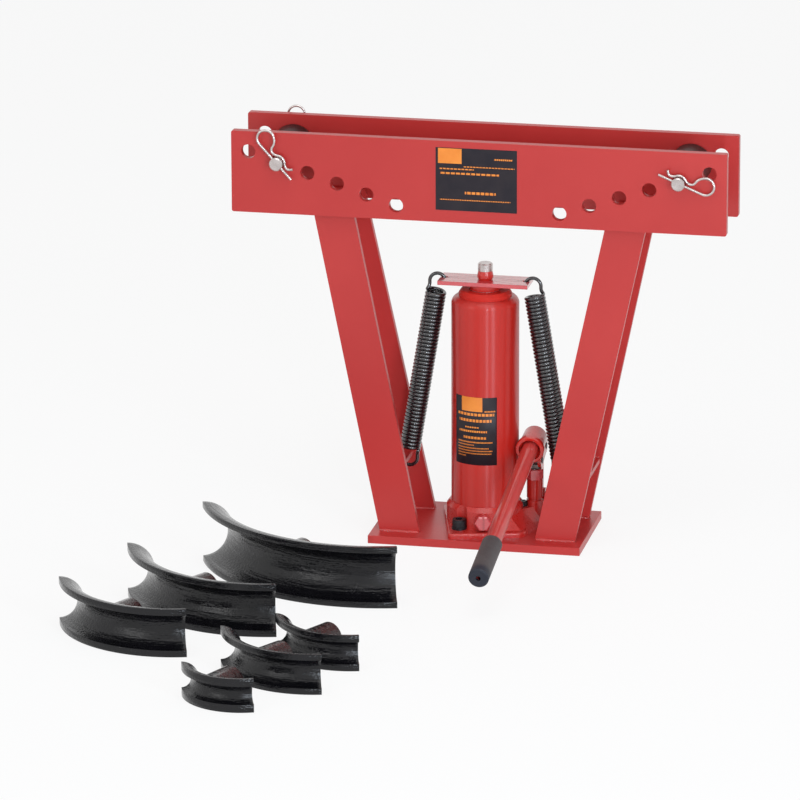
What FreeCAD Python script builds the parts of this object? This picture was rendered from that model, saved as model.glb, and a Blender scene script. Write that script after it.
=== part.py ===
import FreeCAD, Part
import math
import os
import re
import Sketcher
from FreeCAD import Placement, Rotation, Vector

# A hydraulic pipe bender: a floor frame of two beam plates on four splayed flat legs, an upright
# jack that pushes a ram up between the plates, two rollers on pins, and six loose bending dies.
# Frame: +X along the beam, +Y to the back, +Z up, origin under the middle of the base plate.
# All lengths are in millimetres, all angles in degrees.

SIZES = {
    # running, loose and threaded fits, as radial clearances
    "running_fit": 0.08,
    "loose_fit": 0.3,
    "thread_fit": 0.05,
    # base plate
    "base_length": 260,
    "base_width": 150,
    "base_thick": 10,
    # beam plates and their two rows of pin holes
    "beam_length": 600,
    "beam_height": 100,
    "beam_thick": 10,
    "beam_gap": 80,
    "beam_bottom": 400,
    "beam_corner": 2.5,
    "hole_dia": 17.4,
    "hole_first_x": 99,
    "hole_first_z": 17.5,
    "hole_step_x": 36,
    "hole_step_z": 11.5,
    "pin_hole": 4,
    # splayed legs of flat bar
    "leg_width": 49,
    "leg_thick": 8,
    "leg_foot_x": 71,
    "leg_foot_y": 52,
    "leg_top_x": 155,
    "leg_tuck": 12,
    # tie plates between the front and rear legs, where the springs hook in
    "tie_inner_x": 95,
    "tie_outer_x": 134,
    "tie_bottom": 83,
    "tie_thick": 6,
    "tie_hole_dia": 9,
    "tie_hole_in": 0.8,
    # bending rollers, their pins and the sprung clips
    "roller_dia": 50,
    "roller_side_gap": 1.5,
    "roller_chamfer": 1.5,
    "pin_dia": 16.2,
    "pin_length": 126,
    "pin_chamfer": 1.2,
    "clip_wire": 3,
    "clip_plane": 56,
    "clip_leg": 26,
    "clip_loop": 10.3,
    "clip_reach": 31,
    "clip_neck": 12.5,
    "clip_dip": 5,
    # jack base casting, turned on its plate
    "jack_turn": 14,
    "foot_half_u": 48,
    "foot_half_v": 60,
    "foot_thick": 6,
    "foot_corner": 5,
    "foot_round": 14,
    "block_height": 30,
    "drum_dia": 93,
    "drum_rim": 3,
    "collar_dia": 84.6,
    "collar_rise": 2.5,
    "bolt_u": 33.5,
    "bolt_v": 38.5,
    "bolt_dia": 10,
    "bolt_head_dia": 16,
    "bolt_head_height": 10,
    "bolt_key": 8,
    "washer_dia": 18,
    "washer_thick": 2.5,
    "recess_gap": 0.5,
    "arm_in": 8,
    "arm_height": 23,
    "arm_low_u": 45,
    "arm_low_v": 55,
    "arm_low_elbow": 24,
    "arm_low_back": 34,
    "arm_low_half": 4,
    "arm_high_u": 26,
    "arm_high_v": 34,
    "arm_high_elbow_u": 46,
    "arm_high_elbow_v": 17,
    "arm_high_back": 16,
    "arm_high_half": 3,
    "arm_taper": 1,
    "ear_half": 8.5,
    "gallery_dia": 3.2,
    "gallery_in": 15,
    "gallery_rise": 2,
    "suction_drop": 4,
    "suction_pit": 8,
    "relief_depth": 16,
    "relief_screw_end": 6,
    "relief_sleeve_wall": 1.6,
    "suction_u": 34,
    "check_side": 4,
    "check_in": 42,
    "check_out": 50.5,
    "plug_dia": 8,
    "plug_head_dia": 9.6,
    "plug_head": 6.5,
    "plug_stem": 2.5,
    "plug_key": 4,
    # ram cylinder, oil reservoir and head nut
    "piston_dia": 44,
    "cylinder_dia": 58,
    "cylinder_sink": 10,
    "chamber_depth": 6,
    "reservoir_dia": 82,
    "reservoir_wall": 2.5,
    "reservoir_length": 258,
    "reservoir_shoulder": 9,
    "nut_dia": 64,
    "nut_top_dia": 58,
    "nut_height": 8,
    "cylinder_into_nut": 3,
    "wiper_thick": 3,
    "filler_height": 205,
    "filler_dia": 10,
    "filler_head_dia": 16,
    "filler_head": 3,
    # ram
    "rod_dia": 38,
    "rod_show": 7,
    "stroke": 180,
    "stroke_spare": 3,
    "piston_height": 22,
    "piston_rest": 1,
    "seal_height": 6,
    "seal_depth": 4,
    "crossbar_length": 110,
    "crossbar_width": 40,
    "crossbar_thick": 5,
    "crossbar_hole_x": 48.6,
    "crossbar_hole_out": 0.9,
    "crossbar_hole_dia": 7.6,
    "neck_height": 11,
    "neck_dia": 19.5,
    "stud_dia": 12,
    "stud_length": 18,
    "tip_dia": 18,
    "tip_height": 9.6,
    "tip_chamfer": 1.5,
    "tip_stud_dia": 8,
    "tip_stud_length": 6,
    # return springs
    "spring_dia": 25.4,
    "spring_wire": 3.9,
    "spring_turns": 45,
    "spring_top_x": 60.3,
    "spring_hook": 9.7,
    "spring_hook_sink": 5.5,
    "spring_eye": 9.6,
    "spring_eye_rise": 5.4,
    "spring_top_z": 300.5,
    "spring_foot_x": 93.4,
    "spring_foot_z": 98,
    # pump beside the jack
    "pump_offset": 60.2,
    "pump_boss_dia": 20,
    "plunger_dia": 12,
    "pump_cylinder_dia": 19.5,
    "pump_thread_dia": 16,
    "pump_sink": 9,
    "pump_groove": 3,
    "pump_cylinder_top": 66,
    "gland_height": 13,
    "gland_across": 17.8,
    "gland_chamfer": 0.6,
    "pump_seal_height": 4,
    "pump_seal_dia": 16.4,
    "ball_dia": 6,
    # pump lever on its link
    "fulcrum_back": 27,
    "fulcrum_z": 100,
    "plunger_pin_z": 90,
    "lever_dip": 10.4,
    "link_thick": 9.4,
    "link_width": 14,
    "link_pin_dia": 8,
    "link_foot_z": 38,
    "fork_gap": 10,
    "lug_thick": 4,
    "lug_round": 9,
    "lug_hole_play": 1.3,
    "lug_hole_in": 0.9,
    "socket_rise": 23,
    "socket_front": 58.8,
    "socket_length": 43,
    "socket_ring_dia": 34.6,
    "socket_ring": 6,
    "socket_rear_dia": 28.6,
    "socket_back_wall": 4.5,
    "socket_mouth_dia": 26.6,
    "socket_mouth": 8,
    # handle and its grip
    "handle_dia": 19.5,
    "handle_wall": 2,
    "handle_reach": 384.1,
    "grip_dia": 24.4,
    "grip_length": 86,
    "grip_cap": 2.5,
    "grip_eye_dia": 6,
    # release valve on the front of the casting
    "valve_z": 27,
    "valve_u": -5.5,
    "valve_boss_dia": 20,
    "valve_boss": 3,
    "valve_across": 17.5,
    "valve_head": 8,
    "valve_stem_dia": 10,
    "valve_slot": 3,
    "valve_throat": 10,
    "valve_seat": 30,
    # bending dies
    "die_hub_dia": 36,
    "die_hub_length": 29,
    "die_bore_dia": 18.6,
    "die_bore_depth": 26,
    "die_rib": 8,
    "die_rib_setback": 8,
}

# what follows from the sizes
DERIVED = {
    "beam_top": "beam_bottom + beam_height",
    "beam_inner": "beam_gap / 2",
    "beam_outer": "beam_gap / 2 + beam_thick",
    "pin_x": "hole_first_x + pin_hole * hole_step_x",
    "pin_z": "beam_bottom + hole_first_z + pin_hole * hole_step_z",
    "leg_top_z": "beam_bottom + leg_tuck",
    "leg_lean": "(leg_foot_y - beam_inner) / (beam_bottom - base_thick)",
    "leg_top_y": "leg_foot_y - leg_lean * (leg_top_z - base_thick)",
    "tie_top": "tie_bottom + tie_thick",
    "tie_half": "leg_foot_y - leg_thick - leg_lean * (tie_top - base_thick) - 0.05",
    "bolt_front_x": "-bolt_u * cos(jack_turn) + bolt_v * sin(jack_turn)",
    "bolt_front_y": "-bolt_u * sin(jack_turn) - bolt_v * cos(jack_turn)",
    "bolt_seat": "base_thick + foot_thick",
    "recess": "washer_dia / 2 + recess_gap",
    "jack_top": "base_thick + block_height",
    "drum": "drum_dia / 2",
    "arm_top": "base_thick + arm_height",
    "cylinder_seat": "jack_top - cylinder_sink",
    "chamber_floor": "cylinder_seat - chamber_depth",
    "reservoir_top": "jack_top + reservoir_length",
    "cylinder_top": "reservoir_top + cylinder_into_nut",
    "nut_top": "reservoir_top + nut_height",
    "shoulder_round": "min(reservoir_shoulder; reservoir_dia / 2 - cylinder_dia / 2 - 1)",
    "rod_bottom": "cylinder_seat + piston_rest",
    "rod_top": "nut_top + rod_show",
    "bushing_bottom": "rod_bottom + piston_height + stroke + stroke_spare",
    "crossbar_top": "rod_top + crossbar_thick",
    "neck_top": "crossbar_top + neck_height",
    "tip_top": "neck_top + tip_height",
    "relief_seat": "drum - relief_depth",
    "gallery_z": "chamber_floor + gallery_rise",
    "suction_z": "chamber_floor - suction_drop",
    "pump_x": "pump_offset * cos(jack_turn)",
    "pump_y": "pump_offset * sin(jack_turn)",
    "pump_floor": "jack_top - pump_sink",
    "ball_seat_rise": "sqrt(ball_dia * ball_dia - gallery_dia * gallery_dia) / 2 + thread_fit",
    "suction_seat": "pump_floor - suction_pit",
    "gland_top": "pump_cylinder_top + gland_height",
    "fulcrum_y": "pump_y + fulcrum_back",
    "pin_drop": "fulcrum_z - plunger_pin_z",
    "crank": "sqrt(fulcrum_back * fulcrum_back + pin_drop * pin_drop)",
    "crank_dip": "atan(pin_drop / fulcrum_back) / 1 deg - lever_dip",
    "lug_outer": "fork_gap / 2 + lug_thick",
    "plug_u": "(check_in + check_out) / 2",
}

doc = FreeCAD.newDocument("pipe_bender")
sheet = doc.addObject("Spreadsheet::Sheet", "Sizes")
for row, (alias, value) in enumerate(SIZES.items(), start=1):
    sheet.set(f"A{row}", alias)
    sheet.set(f"B{row}", str(value))
    sheet.setAlias(f"B{row}", alias)
doc.recompute()


def bound(formula):
    """Return the formula with each size's name pointing to its cell or derived value."""
    def point(match):
        word = match.group(0)
        if word in SIZES:
            return f"Sizes.{word}"
        return f"Derived.{word}" if word in DERIVED else word
    return re.sub(r"[a-z_]+", point, formula)


derived = doc.addObject("App::VarSet", "Derived")
for alias, formula in DERIVED.items():
    derived.addProperty("App::PropertyFloat", alias)
    derived.setExpression(alias, bound(formula))
doc.recompute()


def size(name):
    """Return the value of a size or of a derived value."""
    return float(sheet.get(name)) if name in SIZES else float(getattr(derived, name))


# Helpers for PartDesign bodies

PARTS = []


def body_at(label, where=("0", "0", "0"), axis=(0, 0, 1), angle="0"):
    """Start a body whose own origin lies at a point, turned about an axis by an angle."""
    made = doc.addObject("PartDesign::Body", label)
    made.Label = label
    made.Placement = Placement(Vector(0, 0, 0), Rotation(Vector(*axis), 1))
    for letter, formula in zip("xyz", where):
        made.setExpression(f"Placement.Base.{letter}", bound(formula))
    made.setExpression("Placement.Rotation.Angle", bound(angle))
    PARTS.append(made)
    return made


def sketch_on(body, plane, lift="0", turn=None, swing=None, rise="0"):
    """Sketch on an origin plane, lifted along its normal; turn spins the sketch in its plane,
    swing turns the plane about the sketch's own upright, rise shifts it up in its plane."""
    made = body.newObject("Sketcher::SketchObject", f"{body.Name}_sketch")
    origin_plane = [item for item in body.Origin.OriginFeatures if item.Role == f"{plane}_Plane"]
    made.AttachmentSupport = [(origin_plane[0], "")]
    made.MapMode = "FlatFace"
    axis = Vector(0, 1, 0) if swing else Vector(0, 0, 1)
    made.AttachmentOffset = Placement(Vector(0, 0, 0), Rotation(axis, 1))
    if swing:
        made.setExpression("AttachmentOffset.Base.x", bound(f"({lift}) * sin({swing})"))
        made.setExpression("AttachmentOffset.Base.z", bound(f"({lift}) * cos({swing})"))
    else:
        made.setExpression("AttachmentOffset.Base.z", bound(lift))
    made.setExpression("AttachmentOffset.Base.y", bound(rise))
    made.setExpression("AttachmentOffset.Rotation.Angle", bound(swing or turn or "0"))
    return made


def place_point(sketch, geometry, position, x, y, start):
    """Fix a point of the sketch at a pair of formulas measured from the sketch's origin."""
    for kind, axis, formula, first in (("DistanceX", -2, x, start.x), ("DistanceY", -1, y, start.y)):
        if formula == "0":
            sketch.addConstraint(Sketcher.Constraint("PointOnObject", geometry, position, axis))
            continue
        index = sketch.addConstraint(Sketcher.Constraint(kind, -1, 1, geometry, position, first))
        sketch.setExpression(f"Constraints[{index}]", bound(formula))


def polygon(sketch, corners):
    """Draw a closed polygon through pairs of formulas."""
    count = len(corners)
    first = sketch.GeometryCount
    turns = [2 * math.pi * i / count for i in range(count)]
    ring = [Vector(50 + 40 * math.cos(turn), 50 + 40 * math.sin(turn), 0) for turn in turns]
    for i in range(count):
        sketch.addGeometry(Part.LineSegment(ring[i], ring[(i + 1) % count]), False)
    for i in range(count):
        sketch.addConstraint(Sketcher.Constraint("Coincident", first + i, 2, first + (i + 1) % count, 1))
    for i, (x, y) in enumerate(corners):
        place_point(sketch, first + i, 1, x, y, ring[i])


def circle(sketch, x, y, radius):
    """Draw a circle about a pair of formulas."""
    start = Vector(20, 20, 0)
    index = sketch.addGeometry(Part.Circle(start, Vector(0, 0, 1), 5), False)
    place_point(sketch, index, 3, x, y, start)
    rule = sketch.addConstraint(Sketcher.Constraint("Radius", index, 5))
    sketch.setExpression(f"Constraints[{rule}]", bound(radius))


def rectangle(x_low, x_high, y_low, y_high):
    """Return the corners of an upright rectangle."""
    return [(x_low, y_low), (x_high, y_low), (x_high, y_high), (x_low, y_high)]


def hexagon(x, y, across):
    """Return the corners of a hexagon by its width across flats, with flats above and below."""
    return [(f"{x} + ({across}) / sqrt(3) * cos({60 * i})", f"{y} + ({across}) / sqrt(3) * sin({60 * i})")
            for i in range(6)]


def feature(body, kind, sketch, length=None, reversed=False, middle=False, through=False):
    """Add a pad or pocket of a sketch."""
    made = body.newObject(f"PartDesign::{kind}", f"{body.Name}_{kind}")
    made.Profile = sketch
    if through:
        made.Type = 1
    else:
        made.setExpression("Length", bound(length))
    made.Reversed = reversed
    made.Midplane = middle
    sketch.Visibility = False
    return made


def pad(body, sketch, length, reversed=False, middle=False):
    return feature(body, "Pad", sketch, length, reversed, middle)


def pocket(body, sketch, length=None, reversed=False, middle=False):
    return feature(body, "Pocket", sketch, length, reversed, middle, through=length is None)


def revolve(body, kind, sketch, axis="V_Axis", angle="360", middle=False):
    """Add a revolution or groove of a sketch about one of its own axes."""
    made = body.newObject(f"PartDesign::{kind}", f"{body.Name}_{kind}")
    made.Profile = sketch
    made.ReferenceAxis = (sketch, [axis])
    made.Midplane = middle
    made.setExpression("Angle", bound(angle))
    sketch.Visibility = False
    return made


def turned(label, profile, where=("0", "0", "0"), axis=(0, 0, 1), angle="0"):
    """Make a turned piece: a profile of (radius, height) pairs spun about its own upright axis."""
    made = body_at(label, where, axis, angle)
    sketch = sketch_on(made, "XZ")
    polygon(sketch, profile)
    revolve(made, "Revolution", sketch)
    return made


def lying(label, plane, profile, rise="0", lift="0", where=("0", "0", "0"), axis=(0, 0, 1), angle="0"):
    """Make a turned piece that lies level: a profile of (place along, radius) pairs."""
    made = body_at(label, where, axis, angle)
    sketch = sketch_on(made, plane, lift, rise=rise)
    polygon(sketch, profile)
    revolve(made, "Revolution", sketch, "H_Axis")
    return made


def dressed(body, kind, radius, pick):
    """Round or chamfer the edges of the body's last feature that a test picks."""
    doc.recompute()
    base = body.Tip
    names = [f"Edge{i}" for i, edge in enumerate(base.Shape.Edges, start=1) if pick(edge)]
    made = body.newObject(f"PartDesign::{kind}", f"{body.Name}_{kind}")
    made.Base = (base, names)
    made.setExpression("Radius" if kind == "Fillet" else "Size", bound(radius))
    return made


def upright(edge):
    """Tell whether an edge is straight and parallel to Z."""
    start, end = edge.firstVertex().Point, edge.lastVertex().Point
    return isinstance(edge.Curve, Part.Line) and abs(end.z - start.z) > 0.99 * edge.Length


def drill(body, plane, lift, centre, radius, depth, reversed=False, **turns):
    """Sink a round hole from a plane; it runs against the plane's normal unless reversed."""
    sketch = sketch_on(body, plane, lift, **turns)
    circle(sketch, centre[0], centre[1], radius)
    return pocket(body, sketch, depth, reversed)


def half_disc_left(sketch, x, y, radius):
    """Draw the half of a disc that lies on the -x side of an upright chord."""
    start = Vector(60, 40, 0)
    arc = sketch.addGeometry(Part.ArcOfCircle(Part.Circle(start, Vector(0, 0, 1), 10),
                                              math.pi / 2, 3 * math.pi / 2), False)
    chord = sketch.addGeometry(Part.LineSegment(start - Vector(0, 10, 0), start + Vector(0, 10, 0)), False)
    sketch.addConstraint(Sketcher.Constraint("Coincident", arc, 2, chord, 1))
    sketch.addConstraint(Sketcher.Constraint("Coincident", arc, 1, chord, 2))
    sketch.addConstraint(Sketcher.Constraint("PointOnObject", arc, 3, chord))
    sketch.addConstraint(Sketcher.Constraint("Vertical", chord))
    place_point(sketch, arc, 3, x, y, start)
    rule = sketch.addConstraint(Sketcher.Constraint("Radius", arc, 10))
    sketch.setExpression(f"Constraints[{rule}]", bound(radius))


def ball(label, where):
    """Make a check ball about a point."""
    made = doc.addObject("Part::Sphere", label)
    made.Label = label
    made.setExpression("Radius", bound("ball_dia / 2"))
    for letter, formula in zip("xyz", where):
        made.setExpression(f"Placement.Base.{letter}", bound(formula))
    PARTS.append(made)


# Helpers for bent wire

def biarc(start, start_way, end, end_way):
    """Return two tangent arcs from one point and direction to another, or one straight line."""
    reach = end - start
    if reach.cross(start_way).Length < 1e-7 and start_way.cross(end_way).Length < 1e-9:
        return [Part.LineSegment(start, end).toShape()]
    both = start_way + end_way
    a = 2 * (1 - start_way.dot(end_way))
    b = 2 * reach.dot(both)
    c = -reach.dot(reach)
    if a < 1e-9:
        handle = -c / b
    else:
        handle = (-b + math.sqrt(b * b - 4 * a * c)) / (2 * a)
    joint = (start + start_way * handle + end - end_way * handle) * 0.5
    edges = []
    for point, way, other in ((start, start_way, joint), (joint, None, end)):
        if way is None:
            way = (end - end_way * handle - start - start_way * handle).normalize()
        chord = other - point
        side = chord - way * chord.dot(way)
        if side.Length < 1e-6:
            edges.append(Part.LineSegment(point, other).toShape())
            continue
        side.normalize()
        radius = chord.dot(chord) / (2 * chord.dot(side))
        centre = point + side * radius
        half = math.atan2(chord.dot(side), chord.dot(way))
        middle = centre - side * (radius * math.cos(half)) + way * (radius * math.sin(half))
        edges.append(Part.Arc(point, middle, other).toShape())
    return edges


def centre_line(stations):
    """Return the smooth line through (point, direction) stations."""
    edges = []
    for (start, start_way), (end, end_way) in zip(stations, stations[1:]):
        edges += biarc(start, start_way, end, end_way)
    return Part.Wire(edges)


def least_gap(stations, wire_dia, apart):
    """Measure the least gap between stretches of a wire that lie some length apart along it."""
    step = 0.5
    points = centre_line(stations).discretize(Distance=step)
    near = int(apart / step)
    least = min(point.distanceToPoint(other) for i, point in enumerate(points)
                for other in points[i + near:i + 5 * near])
    return least - wire_dia


def bent_wire(stations, wire_dia):
    """Return a round wire through (point, direction) stations, as one tube."""
    path = centre_line(stations)
    first, way = stations[0]
    section = Part.Wire([Part.Circle(first, way, wire_dia / 2).toShape()])
    tube = path.makePipeShell([section], True, False)
    return tube if tube.Volume > 0 else tube.reversed()


def shaped(label, shape):
    """Keep a shape made in code as a piece of its own."""
    made = doc.addObject("Part::Feature", label)
    made.Label = label
    made.Shape = shape
    made.Placement = Placement()
    PARTS.append(made)
    return made


# Base plate, with the clearance holes of the two jack screws

base = body_at("base_plate")
outline = sketch_on(base, "XY")
polygon(outline, rectangle("-base_length / 2", "base_length / 2", "-base_width / 2", "base_width / 2"))
pad(base, outline, "base_thick")
holes = sketch_on(base, "XY")
for sign in ("", "-"):
    circle(holes, f"{sign}bolt_front_x", f"{sign}bolt_front_y", "bolt_dia / 2 + loose_fit")
pocket(base, holes, middle=True)


# Beam plates: each has six pin holes a side, rising outwards

def beam_plate(label, back_face):
    plate = body_at(label, ("0", back_face, "0"))
    face = sketch_on(plate, "XZ")
    polygon(face, rectangle("-beam_length / 2", "beam_length / 2", "beam_bottom", "beam_top"))
    pad(plate, face, "beam_thick")
    dressed(plate, "Fillet", "beam_corner",
            lambda edge: abs(edge.tangentAt(edge.FirstParameter).y) > 0.9)
    bores = sketch_on(plate, "XZ")
    for side in ("", "-"):
        for i in range(6):
            circle(bores, f"{side}(hole_first_x + {i} * hole_step_x)",
                   f"beam_bottom + hole_first_z + {i} * hole_step_z", "hole_dia / 2")
    pocket(plate, bores, middle=True)


beam_plate("front_beam_plate", "-beam_inner")
beam_plate("rear_beam_plate", "beam_outer")


# Legs: flat bars that splay along the beam and lean in to its plates

def leg(label, x_sign, y_sign):
    bar = body_at(label)
    sections = []
    for height, inner, outer in (("base_thick", "leg_foot_x", "leg_foot_y"),
                                 ("leg_top_z", "leg_top_x", "leg_top_y")):
        section = sketch_on(bar, "XY", lift=height)
        polygon(section, rectangle(f"{x_sign}{inner}", f"{x_sign}({inner} + leg_width)",
                                   f"{y_sign}{outer}", f"{y_sign}({outer} - leg_thick)"))
        sections.append(section)
    loft = bar.newObject("PartDesign::AdditiveLoft", f"{label}_loft")
    loft.Profile = sections[0]
    loft.Sections = [sections[1]]
    loft.Ruled = True


for depth, y_sign in (("front", "-"), ("rear", "")):
    for side, x_sign in (("left", "-"), ("right", "")):
        leg(f"{depth}_{side}_leg", x_sign, y_sign)


# Tie plates, each with the hole of a spring's lower hook

for side, x_sign in (("left", "-"), ("right", "")):
    tie = body_at(f"{side}_tie_plate", ("0", "0", "tie_bottom"))
    strip = sketch_on(tie, "XY")
    polygon(strip, rectangle(f"{x_sign}tie_inner_x", f"{x_sign}tie_outer_x", "-tie_half", "tie_half"))
    circle(strip, f"{x_sign}(spring_foot_x + spring_eye - tie_hole_in)", "0", "tie_hole_dia / 2")
    pad(tie, strip, "tie_thick")


# Jack base casting: foot, drum, pump arm and boss, link ears, seats, bores and oil galleries

casting = body_at("jack_base")
foot = sketch_on(casting, "XY", lift="base_thick", turn="jack_turn")
polygon(foot, rectangle("-foot_half_u", "foot_half_u", "-foot_half_v", "foot_half_v"))
pad(casting, foot, "foot_thick")
dressed(casting, "Fillet", "foot_round", lambda edge: (
    upright(edge) and edge.CenterOfMass.x > 0 > edge.CenterOfMass.y))
dressed(casting, "Fillet", "foot_corner", lambda edge: (
    upright(edge) and (edge.CenterOfMass.x < 0 or edge.CenterOfMass.y > 0)))
dressed(casting, "Fillet", "foot_thick / 3", lambda edge: edge.CenterOfMass.z > size("bolt_seat") - 0.1)
drum = sketch_on(casting, "XZ")
polygon(drum, [("0", "base_thick"), ("drum", "base_thick"), ("drum", "jack_top - drum_rim"),
               ("collar_dia / 2", "jack_top + collar_rise"), ("0", "jack_top + collar_rise")])
revolve(casting, "Revolution", drum)
arm_end = "pump_offset + pump_boss_dia / 2"
low = sketch_on(casting, "XY", lift="base_thick", turn="jack_turn")
polygon(low, [("arm_in", "-arm_low_v"), ("arm_low_u", "-arm_low_v"),
              ("pump_offset + arm_taper", "-arm_low_elbow"), (arm_end, "-arm_low_half"),
              (arm_end, "arm_low_half"), ("arm_in", "arm_low_back")])
high = sketch_on(casting, "XY", lift="arm_top", turn="jack_turn")
polygon(high, [("arm_in", "-arm_high_v"), ("arm_high_u", "-arm_high_v"),
               ("arm_high_elbow_u", "-arm_high_elbow_v"), (f"{arm_end} - arm_taper", "-arm_high_half"),
               (f"{arm_end} - arm_taper", "arm_high_half"), ("arm_in", "arm_high_back")])
arm = casting.newObject("PartDesign::AdditiveLoft", "jack_base_arm")
arm.Profile = low
arm.Sections = [high]
arm.Ruled = True
boss = sketch_on(casting, "XY", lift="base_thick")
circle(boss, "pump_x", "pump_y", "pump_boss_dia / 2")
pad(casting, boss, "block_height")
ear_floor = "(link_foot_z - link_width / 2 - loose_fit)"
shelf = sketch_on(casting, "XY", lift="base_thick")
polygon(shelf, rectangle("pump_x - ear_half", "pump_x + ear_half", "pump_y", "fulcrum_y + ear_half"))
pad(casting, shelf, f"{ear_floor} - base_thick")
ears = sketch_on(casting, "YZ", lift="pump_x")
polygon(ears, rectangle("fulcrum_y - ear_half", "fulcrum_y + ear_half", "base_thick", "link_foot_z"))
pad(casting, ears, "2 * ear_half", middle=True)
ear_tops = sketch_on(casting, "YZ", lift="pump_x")
circle(ear_tops, "fulcrum_y", "link_foot_z", "ear_half")
pad(casting, ear_tops, "2 * ear_half", middle=True)
gap = sketch_on(casting, "XY", lift=ear_floor)
polygon(gap, rectangle("pump_x - fork_gap / 2", "pump_x + fork_gap / 2",
                       "fulcrum_y - ear_half - 1", "fulcrum_y + ear_half + 1"))
pocket(casting, gap, "link_width + ear_half", reversed=True)
drill(casting, "YZ", "pump_x + ear_half", ("fulcrum_y", "link_foot_z"),
      "link_pin_dia / 2 + thread_fit", "2 * ear_half")
for sign in ("-", ""):
    drill(casting, "XY", "bolt_seat", (f"{sign}bolt_u", f"{sign}bolt_v"), "recess",
          "block_height", reversed=True, turn="jack_turn")
    drill(casting, "XY", "base_thick", (f"{sign}bolt_u", f"{sign}bolt_v"),
          "bolt_dia / 2 + loose_fit", "block_height", reversed=True, turn="jack_turn")
well = sketch_on(casting, "XZ")
polygon(well, [("0", "chamber_floor"), ("piston_dia / 2", "chamber_floor"),
               ("piston_dia / 2", "cylinder_seat"), ("cylinder_dia / 2 + thread_fit", "cylinder_seat"),
               ("cylinder_dia / 2 + thread_fit", "jack_top"), ("reservoir_dia / 2 + thread_fit", "jack_top"),
               ("reservoir_dia / 2 + thread_fit", "jack_top + collar_rise + 1"),
               ("0", "jack_top + collar_rise + 1")])
revolve(casting, "Groove", well)
for radius, top, depth in (("pump_thread_dia / 2 + thread_fit", "jack_top", "pump_sink"),
                           ("ball_dia / 2 + 2", "pump_floor", "pump_floor - suction_seat"),
                           ("gallery_dia / 2", "suction_seat", "suction_seat - suction_z")):
    drill(casting, "XY", top, ("pump_x", "pump_y"), radius, depth)
gallery = "gallery_dia / 2"
chamber = "(ball_dia / 2 + 1)"
for v, z, radius, start, end in (("-check_side", "gallery_z", gallery, "pump_offset", "gallery_in"),
                                 ("-check_side", "gallery_z", chamber, "check_out", "check_in"),
                                 ("0", "suction_z", gallery, "pump_offset", "suction_u"),
                                 ("0", "gallery_z", gallery, "-gallery_in", "-relief_seat"),
                                 ("0", "gallery_z", chamber, "-relief_seat", "-drum - 1")):
    drill(casting, "YZ", start, (v, z), radius, f"{start} - ({end})", swing="jack_turn")
drill(casting, "XY", "jack_top", ("suction_u", "0"), gallery, "jack_top - suction_z", turn="jack_turn")
plug_at = ("plug_u", "-check_side")
drill(casting, "XY", "arm_top", plug_at, "plug_head_dia / 2 + 0.5", "block_height", reversed=True,
      turn="jack_turn")
drill(casting, "XY", "arm_top", plug_at, "plug_dia / 2 + thread_fit", "arm_top - gallery_z",
      turn="jack_turn")
nose = sketch_on(casting, "XZ", lift="drum - 6", swing="jack_turn")
circle(nose, "valve_u", "valve_z", "valve_boss_dia / 2")
pad(casting, nose, "valve_boss + 6")
stem_end = "(valve_seat + valve_throat)"
drill(casting, "XY", "jack_top", ("valve_u", "-valve_seat - valve_throat / 2"), gallery,
      "jack_top - valve_z", turn="jack_turn")
for radius, start, end in (("valve_stem_dia / 2 + thread_fit", "drum + valve_boss", stem_end),
                           ("valve_stem_dia / 2 - 1", stem_end, "valve_seat"),
                           (gallery, "valve_seat", "gallery_in")):
    drill(casting, "XZ", start, ("valve_u", "valve_z"), radius, f"{start} - {end}", swing="jack_turn")


# Cap screws that hold the casting down, with their washers

def cap_screw(name, sign):
    """One socket head screw with its washer, standing in the casting's foot."""
    pieces = []
    for part, radius, low, length in (
            ("shank", "bolt_dia / 2", "1", "bolt_seat - 1"),
            ("washer", "washer_dia / 2", "bolt_seat", "washer_thick"),
            ("head", "bolt_head_dia / 2", "bolt_seat + washer_thick", "bolt_head_height")):
        piece = doc.addObject("Part::Cylinder", f"{name}_{part}")
        piece.setExpression("Radius", bound(radius))
        piece.setExpression("Height", bound(length))
        piece.setExpression("Placement.Base.x", bound(f"{sign}bolt_front_x"))
        piece.setExpression("Placement.Base.y", bound(f"{sign}bolt_front_y"))
        piece.setExpression("Placement.Base.z", bound(low))
        pieces.append(piece)
    whole = doc.addObject("Part::MultiFuse", f"{name}_blank")
    whole.Shapes = pieces
    key = doc.addObject("Part::Prism", f"{name}_key")
    key.Polygon = 6
    key.setExpression("Circumradius", bound("bolt_key / sqrt(3)"))
    key.setExpression("Height", bound("bolt_head_height"))
    key.setExpression("Placement.Base.x", bound(f"{sign}bolt_front_x"))
    key.setExpression("Placement.Base.y", bound(f"{sign}bolt_front_y"))
    key.setExpression("Placement.Base.z", bound("bolt_seat + washer_thick + bolt_head_height / 2"))
    made = doc.addObject("Part::Cut", name)
    made.Base = whole
    made.Tool = key
    return made


screws = doc.addObject("Part::Compound", "jack_base_bolts")
screws.Links = [cap_screw("front_bolt", ""), cap_screw("rear_bolt", "-")]
PARTS.append(screws)


# Ram cylinder, reservoir, head nut and what they hold

turned("power_cylinder", rectangle("piston_dia / 2", "cylinder_dia / 2", "cylinder_seat", "cylinder_top"))

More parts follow.
